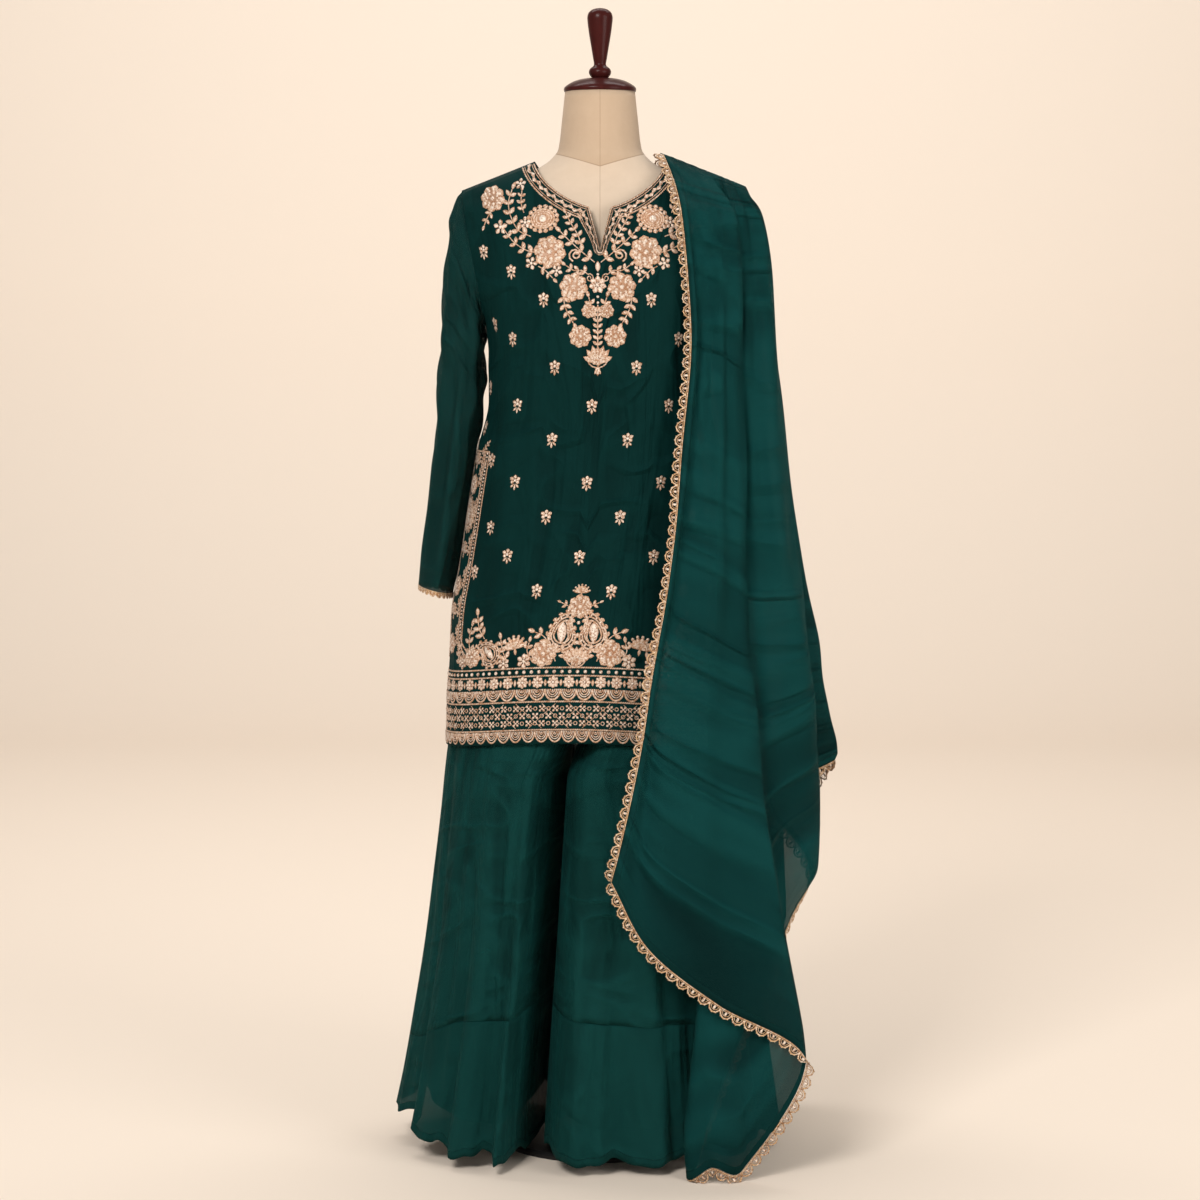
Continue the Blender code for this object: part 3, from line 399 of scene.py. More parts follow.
FRONT_CREASES = (
    Crease(-0.118, 1.150, -0.150, 0.700, 0.010, 0.0022),
    Crease(-0.092, 1.120, -0.118, 0.760, 0.009, -0.0016),
    Crease(-0.070, 1.020, -0.084, 0.800, 0.010, 0.0013),
    Crease(-0.140, 0.960, -0.172, 0.590, 0.008, -0.0018),
    Crease(-0.030, 0.980, -0.050, 0.760, 0.014, 0.0010),
    Crease(0.036, 1.040, 0.026, 0.780, 0.013, -0.0012),
    Crease(0.078, 1.100, 0.070, 0.640, 0.011, 0.0016),
    Crease(0.118, 1.120, 0.132, 0.640, 0.010, -0.0018),
    Crease(-0.150, 1.262, -0.118, 1.170, 0.008, -0.0015),
    Crease(-0.165, 1.215, -0.128, 1.120, 0.006, 0.0015),
    Crease(-0.157, 1.180, -0.120, 1.062, 0.006, -0.0013),
    Crease(-0.156, 1.110, -0.108, 1.000, 0.007, 0.0012),
)
BACK_CREASES = (
    Crease(-0.120, 1.160, -0.135, 0.690, 0.010, 0.0022),
    Crease(-0.088, 1.080, -0.098, 0.720, 0.010, -0.0018),
    Crease(-0.045, 1.040, -0.052, 0.660, 0.013, 0.0018),
    Crease(0.004, 1.100, 0.000, 0.620, 0.012, -0.0016),
    Crease(0.050, 1.060, 0.058, 0.700, 0.011, 0.0019),
    Crease(0.100, 1.120, 0.118, 0.640, 0.010, -0.0018),
    Crease(-0.150, 0.980, -0.168, 0.620, 0.009, -0.0020),
    Crease(-0.158, 1.230, -0.110, 1.120, 0.007, 0.0016),
    Crease(0.158, 1.230, 0.112, 1.130, 0.007, 0.0014),
    Crease(-0.070, 1.320, 0.066, 1.318, 0.009, 0.0011),
)


class Pattern:
    """The front panel as flat cloth: s is metres across from its centre line, and z is the height."""

    ROWS = np.linspace(0.560, 1.375, 164)
    ACROSS = np.sin(np.linspace(-math.pi / 2, math.pi / 2, 301))

    def __init__(self):
        lengths = [distance_along(self.row(z)[:, :2]) for z in self.ROWS]
        self.lengths = np.array([length - length[len(length) // 2] for length in lengths])

    def row(self, z):
        return front_base(self.ACROSS, np.full(len(self.ACROSS), float(z)))

    def across(self, s, z):
        s, z = np.asarray(s, float), np.asarray(z, float)
        place = np.clip((z - self.ROWS[0]) / (self.ROWS[1] - self.ROWS[0]), 0, len(self.ROWS) - 1.001)
        low = place.astype(int)
        found = np.empty(s.shape)
        for row in np.unique(low):
            here = low == row
            share = place[here] - row
            a = np.interp(s[here], self.lengths[row], self.ACROSS)
            b = np.interp(s[here], self.lengths[row + 1], self.ACROSS)
            found[here] = a * (1 - share) + b * share
        return found

    def side(self, z, way):
        """s of the panel's side edge at a height."""
        edge = self.lengths[:, -1 if way > 0 else 0]
        return np.interp(z, self.ROWS, edge)

    def hem(self, s):
        """Height of the hem at s."""
        across = self.across(s, np.full(np.shape(s), KURTA_HEM_FRONT))
        return KURTA_HEM_FRONT - KURTA_HEM_RISE * across**2

    def place(self, s, z):
        """s of the point whose x is given as s here, for a motif placed by its x."""
        across = np.interp(s, self.row(z)[:, 0], self.ACROSS)
        row = int(np.clip(round((z - self.ROWS[0]) / (self.ROWS[1] - self.ROWS[0])), 0, len(self.ROWS) - 1))
        return float(np.interp(across, self.ACROSS, self.lengths[row]))

    def lay(self, s, z, lift):
        """Points in space, lifted off the cloth along its normal."""
        def at(s_here, z_here):
            return front_base(self.across(s_here, z_here), z_here)

        point, step = at(s, z), 0.0015
        inner = np.clip(s, self.side(z, -1) + step, self.side(z, 1) - step)
        crease = creases(FRONT_CREASES, point[..., 0], point[..., 2])
        return point + normal_at(at, inner, z, step) * (crease + CLOTH_WALL + lift)[..., None]


# --- the trousers' surface ---
def round_leg(edge, turn):
    angle = 2 * math.pi * turn
    front, outer = np.sin(angle), -np.cos(angle)
    rise = edge.front * np.maximum(front, 0) ** 2 + edge.back * np.maximum(-front, 0) ** 2
    return rise + edge.outer * np.maximum(outer, 0) ** 2 + edge.inner * np.maximum(-outer, 0) ** 2


def leg_fold(side, turn, z):
    """The frame's large folds, slight at the hip and deepest at the hem."""
    angle = 2 * math.pi * turn
    depth = 0.0012 + 0.0078 * smooth_step((0.60 - z) / 0.60) ** 1.3
    waves = np.sin(9 * angle + 0.7 * side) + 0.45 * np.sin(5 * angle + 1.9 * side)
    return depth * waves * (1 - smooth_step((z - 0.50) / 0.12))


def fine_fold(side, turn, z):
    """Smaller folds between the large ones, which drift as they fall."""
    angle = 2 * math.pi * turn
    drift = 0.35 * np.sin(7.0 * z + side)
    depth = 0.0007 + 0.0026 * smooth_step((0.62 - z) / 0.62)
    waves = np.sin(17 * angle + 2.1 * side + drift) + 0.6 * np.sin(26 * angle + 0.4 * side - 2 * drift)
    return depth * waves * (1 - smooth_step((z - 0.62) / 0.10))


def leg_surface(side, turn, z, inset=0.0):
    """A leg's inner face: turn goes once round, from the inseam by the front, outside and back."""
    left, right, front, back, split = (
        between(TROUSER_SECTIONS, column, z) for column in Hip._fields[1:]
    )
    push = leg_fold(side, turn, z) * (1 if np.all(inset == 0) else 0.4) - inset
    push = push + (fine_fold(side, turn, z) if np.all(inset == 0) else 0)
    centre, half_width = (left + right) / 2, (right - left) / 2
    outer = (left if side < 0 else right) + side * push
    inner = split + side * (LEG_GAP + np.maximum(0, 0.553 - z) * 0.006 + inset * 0.8)
    angle = 2 * math.pi * turn
    x = (inner + outer) / 2 + (inner - outer) / 2 * np.cos(angle)
    envelope = rounded((x - centre) / (half_width + push), BODY_ROUNDNESS)
    corner_depth = rounded(1 - np.minimum(np.abs(x - inner) / LEG_CORNER, 1), 2.4)
    depth = np.where(np.sin(angle) >= 0, front, back) + push
    leg_y = -np.sign(np.sin(angle)) * depth * envelope * corner_depth
    start = split + side * (SEAM / 2 + inset / 2)
    hip_x = start + (outer - start) * np.sin(math.pi * turn)
    hip_depth = np.where(turn < 0.5, front, back) + push
    hip_y = rounded((hip_x - centre) / (half_width + push), BODY_ROUNDNESS) * hip_depth
    hip_y = -np.sign(np.cos(math.pi * turn)) * hip_y
    share = smooth_step((z - CROTCH) / RISE_HEIGHT)
    near_inseam = np.exp(-np.abs(x - split) / INSEAM_REACH) * smooth_step((CROTCH - z) / 0.06)
    x = x + INSEAM_SLANT * leg_y * near_inseam
    return np.stack([x * (1 - share) + hip_x * share, leg_y * (1 - share) + hip_y * share, z], axis=-1)


def lining_inset(z):
    return 0.0072 + 0.013 * smooth_step((0.56 - z) / 0.5)


# --- the dupatta's surface ---
def fold_lines(folds, side):
    way = -1 if side == "front" else 1
    lines = []
    for reach, *stations in folds.values():
        top = (reach, 0.0, shoulder_line(reach) + DUPATTA_LIFT)
        near = 0.7 * reach + 0.3 * stations[0][0]
        on_body = smooth_step((0.199 - reach) / 0.025)
        near_y = way * 0.045 * on_body + 0.6 * stations[0][1] * (1 - on_body)
        below = (near, near_y, shoulder_line(near) - 0.004)
        lines.append([top, below, *stations])
    return np.array(lines, float)


def clear_of_suit(points, side):
    """Moves points of the dupatta out, where they would come too close to the suit under them."""
    x, y, z = points[..., 0], points[..., 1], points[..., 2]
    way = -1 if side == "front" else 1
    clearance = DUPATTA_CLEARANCE + NECK_BORDER_CLEARANCE * smooth_step((z - 1.27) / 0.04)
    body = np.where((z < shoulder_line(x)) | (np.abs(x) > SHOULDER_TIP[0]), kurta_depth(x, z, side), 0)
    body = np.where(body > 0, body + clearance, 0)
    left, right, depth = (between(TROUSER_SECTIONS, column, z) for column in ("left", "right", side))
    part = (x - (left + right) / 2) / ((right - left) / 2 + LEG_FOLDS_REACH)
    legs = np.where(np.abs(part) < 1, (depth + LEG_FOLDS_REACH) * rounded(part, BODY_ROUNDNESS), 0)
    legs = legs * smooth_step((z - 0.012) / 0.012)
    blend = smooth_step((z - (KURTA_HEM_FRONT - 0.045)) / 0.03)
    reach = np.where(blend >= 1, body, np.maximum(legs, body * blend))
    moved = np.where(reach > 0, way * np.maximum(way * y, reach), y)
    return np.stack([x, moved, np.maximum(z, 0.0016)], axis=-1)


# --- making pieces ---
def mode(name):
    """Enters a mode, with every part of the mesh selected when it is for editing."""
    bpy.ops.object.mode_set(mode=name)
    if name == "EDIT":
        bpy.ops.mesh.select_all(action="SELECT")


def deselect():
    if bpy.context.object and bpy.context.object.mode != "OBJECT":
        mode("OBJECT")
    bpy.ops.object.select_all(action="DESELECT")


def dress(obj, material):
    obj.data.materials.clear()
    obj.data.materials.append(material)


def finish_piece(obj, material, nodes=()):
    dress(obj, material)
    bpy.context.view_layer.objects.active = obj
    obj.select_set(True)
    bpy.ops.object.shade_smooth()
    deselect()
    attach(obj, "root")
    if nodes:
        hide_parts(*nodes)
    return obj


def cloth_grid(name, points, middle, closed=False, attributes=None):
    """A grid mesh on points (rows, columns, 3), with UVs in metres, its faces turned from middle(z)."""
    rows, columns = points.shape[:2]
    deselect()
    bpy.ops.mesh.primitive_grid_add(x_subdivisions=columns - 1, y_subdivisions=rows - 1, size=1)
    obj = bpy.context.object
    obj.name = obj.data.name = name
    mesh = obj.data
    flat = np.empty(len(mesh.vertices) * 3)
    mesh.vertices.foreach_get("co", flat)
    flat = flat.reshape(-1, 3)
    column = np.rint((flat[:, 0] + 0.5) * (columns - 1)).astype(int)
    row = np.rint((flat[:, 1] + 0.5) * (rows - 1)).astype(int)
    mesh.vertices.foreach_set("co", points[row, column].astype(np.float32).ravel())
    width = np.linalg.norm(np.diff(points[rows // 2], axis=0), axis=1).sum()
    length = np.linalg.norm(np.diff(points[:, columns // 2], axis=0), axis=1).sum()
    uv = np.empty(len(mesh.loops) * 2, np.float32)
    layer = mesh.uv_layers.active
    layer.uv.foreach_get("vector", uv)
    uv = (uv.reshape(-1, 2) * (width, length)).astype(np.float32)
    layer.uv.foreach_set("vector", uv.ravel())
    for key, values in (attributes or {}).items():
        made = mesh.attributes.new(key, "FLOAT", "POINT")
        made.data.foreach_set("value", values[row, column].astype(np.float32))
    mesh.update()
    if closed:
        mode("EDIT")
        bpy.ops.mesh.remove_doubles(threshold=1e-5)
        mode("OBJECT")
    total = 0.0
    for i in range(0, len(mesh.polygons), max(1, len(mesh.polygons) // 400)):
        face = mesh.polygons[i]
        away = face.center - Vector(middle(face.center.z))
        total += face.normal.x * away.x + face.normal.y * away.y
    if total < 0:
        mesh.flip_normals()
    return obj


def cloth_piece(name, points, middle, material, nodes, slot="georgette", wall=CLOTH_WALL, **shape):
    """A finished piece of cloth: a grid with a thin wall outside it."""
    obj = cloth_grid(name, points, middle, **shape)
    modifier = obj.modifiers.new("wall", "SOLIDIFY")
    modifier.thickness, modifier.offset, modifier.use_even_offset = wall, 1, False
    bpy.context.view_layer.objects.active = obj
    bpy.ops.object.modifier_apply(modifier=modifier.name)
    return finish_piece(obj, material, nodes)


def on_axis(z):
    return (0.0, 0.0, z)


# --- needlework: petals, beads and cords in a flat pattern ---
class Needlework:
    """Collects small raised shapes in pattern space (u across, v up, lift), then lays them on cloth."""

    def __init__(self):
        self.spots, self.faces, self.marks, self.count = [], [], [], 0
        self.frame = (0.0, 0.0, 0.0, 1.0, 1)

    def at(self, u, v, angle=0.0, scale=1.0, mirror=1):
        self.frame = (u, v, math.radians(angle), scale, mirror)
        return self

    def add(self, points, faces, rim, pearl):
        """points (n, 3) in the motif's own frame; rim and pearl are marks for the material."""
        u0, v0, angle, scale, mirror = self.frame
        x, y, lift = np.asarray(points, float).T
        x, y, c, s = x * scale, y * scale, math.cos(angle), math.sin(angle)
        self.spots.append(np.column_stack([u0 + mirror * (x * c - y * s), v0 + x * s + y * c, lift]))
        n = len(x)
        self.marks.append(np.column_stack([np.broadcast_to(rim, n), np.broadcast_to(pearl, n)]))
        for face in faces:
            face = [i + self.count for i in face]
            self.faces.append(face if mirror > 0 else face[::-1])
        self.count += n

    def petal(self, x, y, length, width, angle, height=0.0011, pearl=0.0, point=0.5):
        """A domed leaf from its base at (x, y), leaning at this angle from upright."""
        steps = 4
        a = math.radians(angle)
        along, side = np.array([-math.sin(a), math.cos(a)]), np.array([math.cos(a), math.sin(a)])
        spots, rim = [(x, y, 0.0)], [1.0]
        for k in range(1, steps):
            t = k / steps
            half = side * width / 2 * math.sin(math.pi * t ** (0.5 + point)) ** 0.8
            middle = (x, y) + along * length * t
            crown = height * math.sin(math.pi * t) ** 0.5
            spots += [(*(middle - half), 0.0), (*middle, crown), (*(middle + half), 0.0)]
            rim += [1.0, 0.0, 1.0]
        spots.append((*((x, y) + along * length), 0.0))
        faces = [(0, 2, 1), (0, 3, 2)]
        for k in range(steps - 2):
            b = 1 + 3 * k
            faces += [(b, b + 1, b + 4, b + 3), (b + 1, b + 2, b + 5, b + 4)]
        b, tip = 1 + 3 * (steps - 2), 1 + 3 * (steps - 1)
        faces += [(b, b + 1, tip), (b + 1, b + 2, tip)]
        self.add(spots, faces, np.array([*rim, 1.0]), pearl)

    def ray(self, turn, start, length, width, height=0.0011, foot=0.0, **look):
        """A petal at a turn from upright, which begins this far from the point (0, foot)."""
        a = math.radians(turn)
        self.petal(-math.sin(a) * start, foot + math.cos(a) * start, length, width, turn, height, **look)

    def bead(self, x, y, radius, height=None, pearl=1.0, stretch=1.0, sides=8, rim_mark=1.0, ground=0.0):
        """A domed bead; ground marks its crown, as the ground that other stitches lie on."""
        height = radius * 0.55 if height is None else height
        spots, rim = [(x, y, height)], [ground]
        for share, level, mark in ((0.66, 0.78, max(ground, 0.25)), (1.0, 0.0, rim_mark)):
            for k in range(sides):
                turn = 2 * math.pi * k / sides
                px, py = radius * share * math.cos(turn), radius * share * stretch * math.sin(turn)
                spots.append((x + px, y + py, height * level))
                rim.append(mark)
        faces = [(0, 1 + k, 1 + (k + 1) % sides) for k in range(sides)]
        for k in range(sides):
            after = (k + 1) % sides
            faces.append((1 + k, 1 + sides + k, 1 + sides + after, 1 + after))
        self.add(spots, faces, np.array(rim), pearl)

    def cord(self, path, width, height=0.0009, pearl=0.0, closed=False):
        """A raised cord along a path of (x, y)."""
        path = np.asarray(path, float)
        ahead = np.roll(path, -1, axis=0) - path
        if not closed:
            ahead[-1] = path[-1] - path[-2]
        behind = np.roll(ahead, 1, axis=0)
        if not closed:
            behind[0] = ahead[0]
        way = unit(ahead + behind)
        side = np.column_stack([way[:, 1], -way[:, 0]]) * width / 2
        n = len(path)
        spots = np.zeros((3 * n, 3))
        spots[0::3, :2], spots[1::3, :2], spots[2::3, :2] = path - side, path, path + side
        spots[1::3, 2] = height
        rim = np.tile([1.0, 0.0, 1.0], n)
        faces = []
        for k in range(n if closed else n - 1):
            a, b = 3 * k, 3 * ((k + 1) % n)
            faces += [(a, a + 1, b + 1, b), (a + 1, a + 2, b + 2, b + 1)]
        self.add(spots, faces, rim, pearl)

    def arc(self, x, y, radius, start, end, width, height=0.0009, steps=8, pearl=0.0, squash=1.0):
        angles = np.radians(np.linspace(start, end, steps + 1))
        path = np.column_stack([x + radius * np.cos(angles), y + radius * squash * np.sin(angles)])
        whole = abs(end - start) >= 359.9
        self.cord(path[:-1] if whole else path, width, height, pearl, closed=whole)

    # motifs, each drawn at its own real size round (0, 0) of its frame
    def rose(self, radius, rings=3):
        """Overlapping petals round a heart packed with knots."""
        for k in range(8):
            self.ray(45 * k + 8, radius * 0.42, radius * 0.60, radius * 0.66, point=0.85)
        self.bead(0, 0, radius * 0.70, 0.0009, pearl=0.0, sides=12, rim_mark=0.9, ground=0.9)
        for ring in range(rings):
            level = radius * (0.68 - 0.40 * ring / rings)
            count = max(4, int(11 * level / radius / 0.62))
            for k in range(count):
                a = 2 * math.pi * (k + 0.5 * (ring % 2)) / count
                x, y, pearl = level * math.cos(a), level * math.sin(a), 0.25 + 0.5 * (k % 2)
                self.bead(x, y, radius * 0.13, 0.0019, pearl, sides=6, rim_mark=0.8)
        self.arc(0, 0, radius * 0.80, 0, 360, radius * 0.09, 0.0014, steps=16)
        self.bead(0, 0, radius * 0.19, 0.0022, pearl=0.7)

    def medallion(self, width, height):
        """An oval flower: petals all round, two rings, and a pearl-white heart."""
        count, oval = 16, height / width
        self.bead(0, 0, width * 0.38, 0.0009, 0.1, oval, sides=14, rim_mark=0.9, ground=0.9)
        for k in range(count):
            a = 2 * math.pi * k / count
            x, y = width / 2 * 0.72 * math.cos(a), height / 2 * 0.72 * math.sin(a)
            self.petal(x, y, width * 0.15, width * 0.16, math.degrees(a) - 90, 0.0011, point=0.8)
        for share, thick in ((0.70, 0.075), (0.55, 0.06), (0.40, 0.06)):
            a = np.linspace(0, 2 * math.pi, 19)[:-1]
            ring = np.column_stack([width / 2 * share * np.cos(a), height / 2 * share * np.sin(a)])
            self.cord(ring, width * thick, 0.0014, closed=True)
        self.bead(0, 0, width * 0.13, 0.0021, 0.9, oval * 1.25)

    def flower(self, radius, petals=5, pearl=0.55):
        for k in range(petals):
            self.ray(360 * k / petals, radius * 0.18, radius * 0.84, radius * 0.62, pearl=pearl, point=0.7)
        self.bead(0, 0, radius * 0.26, 0.0016, pearl=1.0, sides=6)

    def buti(self):
        """The small spray scattered over the kurta: a five-petalled head over three drops."""
        for turn, length in ((0, 0.0052), (62, 0.0056), (-62, 0.0056), (118, 0.0046), (-118, 0.0046)):
            self.ray(turn, 0.0012, length, 0.0042, foot=0.0032, pearl=0.45, point=0.75)
        self.bead(0, 0.0032, 0.0019, 0.0015, pearl=0.9, sides=6)
        for turn, length in ((180, 0.0072), (136, 0.0062), (224, 0.0062)):
            self.ray(turn, 0.0008, length, 0.0026, 0.0010, 0.0006, pearl=0.25, point=0.9)

    def sprig(self, length, pairs=3, leaf=0.0085):
        """A straight stem with pairs of leaves and one at its tip."""
        self.cord(line(0, 0, 0, length, 8), 0.0014, 0.0009)
        for k in range(pairs):
            t = 0.18 + 0.66 * k / max(1, pairs - 1)
            size = leaf * (1 - 0.28 * t)
            for way in (-1, 1):
                self.petal(0, t * length, size, size * 0.52, way * 48, pearl=0.15)
        self.petal(0, length, leaf * 0.85, leaf * 0.42, 0, 0.0010, pearl=0.15)

    def curl(self, size):
        """A stem that curls over into a spiral."""
        turns = np.linspace(0, 1, 14)
        radius = size * (1 - 0.82 * turns) * 0.5
        angle = -math.pi / 2 + 2.9 * math.pi * turns
        self.cord(np.column_stack([radius * np.cos(angle), radius * np.sin(angle)]), size * 0.13, 0.0010)

    def paisley(self, length, width, petals=15):
        """A teardrop whose tip curls to the right: rings of stitches, petals outside, a pearl heart."""
        places = np.linspace(0, 1, 12)
        reach = length - width / 2
        spine = np.column_stack([0.34 * width * places**2.2, reach * (places - 0.10 * places**3)])
        along = unit(np.gradient(spine, axis=0))
        half = (width / 2 * (1 - places) ** 0.66)[:, None]
        side = np.column_stack([along[:, 1], -along[:, 0]]) * half
        turn = np.radians(np.linspace(0, -180, 12))[1:-1]
        bulb = np.column_stack([np.cos(turn), np.sin(turn)]) * width / 2
        outline = np.concatenate([spine - side, (spine + side)[-2::-1], bulb])
        centre = np.array([0.02 * width, 0.10 * length])
        for share, thick, pearl in ((1.0, 0.070, 0.0), (0.80, 0.055, 0.2), (0.62, 0.055, 0.0)):
            self.cord(centre + (outline - centre) * share, width * thick * 1.2, 0.0014, pearl, closed=True)
        looped = np.concatenate([outline, outline[:1]])
        around = distance_along(looped)
        for k in range(petals):
            spot = read_along(around, looped, (k + 0.5) / petals * around[-1])
            inner = centre + (spot - centre) * 0.90
            self.bead(*inner, width * 0.045, 0.0017, 0.6, sides=6)
            lean = math.degrees(math.atan2(-(spot - centre)[0], (spot - centre)[1]))
            self.petal(*spot, width * 0.15, width * 0.19, lean, 0.0012, point=0.8)
        self.petal(-0.04 * width, -0.30 * width, length * 0.62, width * 0.36, -5, 0.0022, 0.95, 0.6)
        inside = [(0.08, -0.34 * width), (0.24, -0.05 * width), (0.20, 0.26 * length), (0.12, 0.42 * length)]
        self.cord([(x * width, y) for x, y in inside], width * 0.07, 0.0018)

    def vine(self, stops, leaf, pairs):
        """A stem through the stops, which are (x, y), with pairs of leaves along it."""
        path = curve_points(stops, np.linspace(0, 1, 14))
        self.cord(path, 0.0015, 0.0010)
        for k in range(pairs):
            t = (k + 0.6) / (pairs + 0.4)
            x, y = curve_points(stops, t)[0]
            dx, dy = curve_points(stops, min(t + 0.05, 1))[0] - curve_points(stops, t - 0.05)[0]
            lean = math.degrees(math.atan2(-dx, dy))
            size = leaf * (1 - 0.22 * t)
            for way in (-1, 1):
                self.petal(x, y, size, size * 0.54, lean + way * 50, 0.0012, pearl=0.15)
        dx, dy = path[-1] - path[-2]
        lean = math.degrees(math.atan2(-dx, dy))
        self.petal(*path[-1], leaf * 0.9, leaf * 0.46, lean, 0.0012, pearl=0.15)

    def fan(self, radius):
        """A carnation seen from the side."""
        for k in range(7):
            turn = -72 + 24 * k
            self.petal(0, 0, radius, radius * 0.34, turn, 0.0012, point=1.0)
            a = math.radians(turn)
            x, y = -math.sin(a) * radius * 0.95, math.cos(a) * radius * 0.95
            self.bead(x, y, radius * 0.13, 0.0013, 0.2, sides=6)
        self.arc(0, 0, radius * 0.52, 20, 160, radius * 0.12, 0.0017, steps=6, pearl=0.6)
        self.petal(0, radius * 0.08, radius * 0.55, radius * 0.24, 180, 0.0012)

    def lotus(self, width, height):
        for turn, share in ((66, 0.86), (-66, 0.86), (40, 0.96), (-40, 0.96), (18, 1), (-18, 1), (0, 0.92)):
            self.ray(turn, 0, height * share, width * 0.26, 0.0014, -height * 0.42, pearl=0.15, point=0.75)
        for k in range(5):
            a = math.radians(-50 + 25 * k)
            x, y = -math.sin(a) * width * 0.22, -height * 0.40 + math.cos(a) * width * 0.24
            self.bead(x, y, width * 0.045, 0.0022, 0.9, sides=6)
        self.arc(0, -height * 0.1, width * 0.46, 200, 340, width * 0.06, 0.0013, steps=7)

    def scallop(self, pitch, depth):
        """One hanging scallop: nested half rings with a pearl thread between them, and a bead."""
        radius = pitch * 0.49
        squash = depth / radius
        self.arc(0, 0, radius, 180, 360, pitch * 0.13, 0.0011, steps=10, squash=squash)
        self.arc(0, 0, radius * 0.74, 180, 360, pitch * 0.07, 0.0013, steps=9, pearl=0.95, squash=squash)
        for k in range(2):
            size = radius * (0.54 - 0.24 * k)
            self.arc(0, 0, size, 180, 360, pitch * 0.09, 0.0014, steps=7, squash=squash)
        self.bead(0, -depth * 0.12, pitch * 0.07, 0.0018, pearl=0.6, sides=6)

    def build(self, name, place, material, nodes=()):
        """Lays everything on the cloth: place(u, v, lift) gives points in space."""
        spots, marks = np.concatenate(self.spots), np.concatenate(self.marks)
        points = place(spots[:, 0], spots[:, 1], spots[:, 2])
        mesh = bpy.data.meshes.new(name)
        corners = np.fromiter((i for face in self.faces for i in face), np.int32)
        sizes = np.fromiter((len(face) for face in self.faces), np.int32)
        mesh.vertices.add(len(points))
        mesh.vertices.foreach_set("co", points.astype(np.float32).ravel())
        mesh.loops.add(len(corners))
        mesh.loops.foreach_set("vertex_index", corners)
        mesh.polygons.add(len(sizes))
        starts = np.concatenate([[0], np.cumsum(sizes)[:-1]]).astype(np.int32)
        mesh.polygons.foreach_set("loop_start", starts)
        mesh.update(calc_edges=True)
        for column, key in enumerate(("rim", "pearl")):
            made = mesh.attributes.new(key, "FLOAT", "POINT")
            made.data.foreach_set("value", marks[:, column].astype(np.float32))
        layer = mesh.uv_layers.new(name="pattern")
        layer.uv.foreach_set("vector", spots[corners][:, :2].astype(np.float32).ravel())
        obj = bpy.data.objects.new(name, mesh)
        bpy.context.scene.collection.objects.link(obj)
        deselect()
        return finish_piece(obj, material, nodes)


# --- materials ---
class Shading:
    """A tree of shader nodes, with short ways to add those used here. Most give the new output."""

    def __init__(self, tree):
        self.tree = tree

    def feed(self, socket, value):
        """Joins an output to an input, or sets the input to a value; a colour has three parts."""
        if isinstance(value, bpy.types.NodeSocket):
            self.tree.links.new(value, socket)
        else:
            socket.default_value = (*value, 1) if socket.type == "RGBA" else value

    def node(self, kind, **values):
        """A node with its settings; a value whose name is an input's feeds that input."""
        made = self.tree.nodes.new("ShaderNode" + kind)
        for key, value in values.items():
            if hasattr(made, key):
                setattr(made, key, value)
            else:
                self.feed(made.inputs[key.replace("_", " ")], value)
        return made

    def surface(self, **values):
        """Feeds the inputs of the material's own shader."""
        shader = self.tree.nodes["Principled BSDF"]
        for key, value in values.items():
            self.feed(shader.inputs[key.replace("_", " ")], value)

    def maths(self, operation, a, b=0.0, clamp=False):
        made = self.node("Math", operation=operation, use_clamp=clamp)
        self.feed(made.inputs[0], a)
        self.feed(made.inputs[1], b)
        return made.outputs[0]

    def plus(self, a, b, clamp=False):
        return self.maths("ADD", a, b, clamp)

    def minus(self, a, b, clamp=False):
        return self.maths("SUBTRACT", a, b, clamp)

    def times(self, a, b, clamp=False):
        return self.maths("MULTIPLY", a, b, clamp)

    def mix(self, share, a, b):
        """A blend from colour a to colour b."""
        made = self.node("Mix", data_type="RGBA")
        for socket, value in zip([made.inputs[i] for i in (0, 6, 7)], (share, a, b)):
            self.feed(socket, value)
        return made.outputs[2]

    def noise(self, place, scale, detail=2.0, roughness=0.5, distortion=0.0):
        values = {"Scale": scale, "Detail": detail, "Roughness": roughness, "Distortion": distortion}
        return self.node("TexNoise", Vector=place, **values).outputs["Fac"]

    def wave(self, place, direction, scale, distortion, detail_scale):
        values = {"Scale": scale, "Distortion": distortion, "Detail": 2.0, "Detail_Scale": detail_scale}
        made = self.node("TexWave", wave_type="BANDS", bands_direction=direction, Vector=place, **values)
        return made.outputs["Fac"]

    def stretched(self, place, scale, turn=0.0):
        made = self.node("Mapping", Vector=place, Scale=scale, Rotation=(0.0, 0.0, turn))
        return made.outputs[0]

    def bump(self, height, strength, distance, **under):
        made = self.node("Bump", Height=height, Strength=strength, Distance=distance, **under)
        return made.outputs["Normal"]

    def coordinates(self, kind):
        return self.node("TexCoord").outputs[kind]

    def mark(self, name):
        return self.node("Attribute", attribute_name=name).outputs["Fac"]


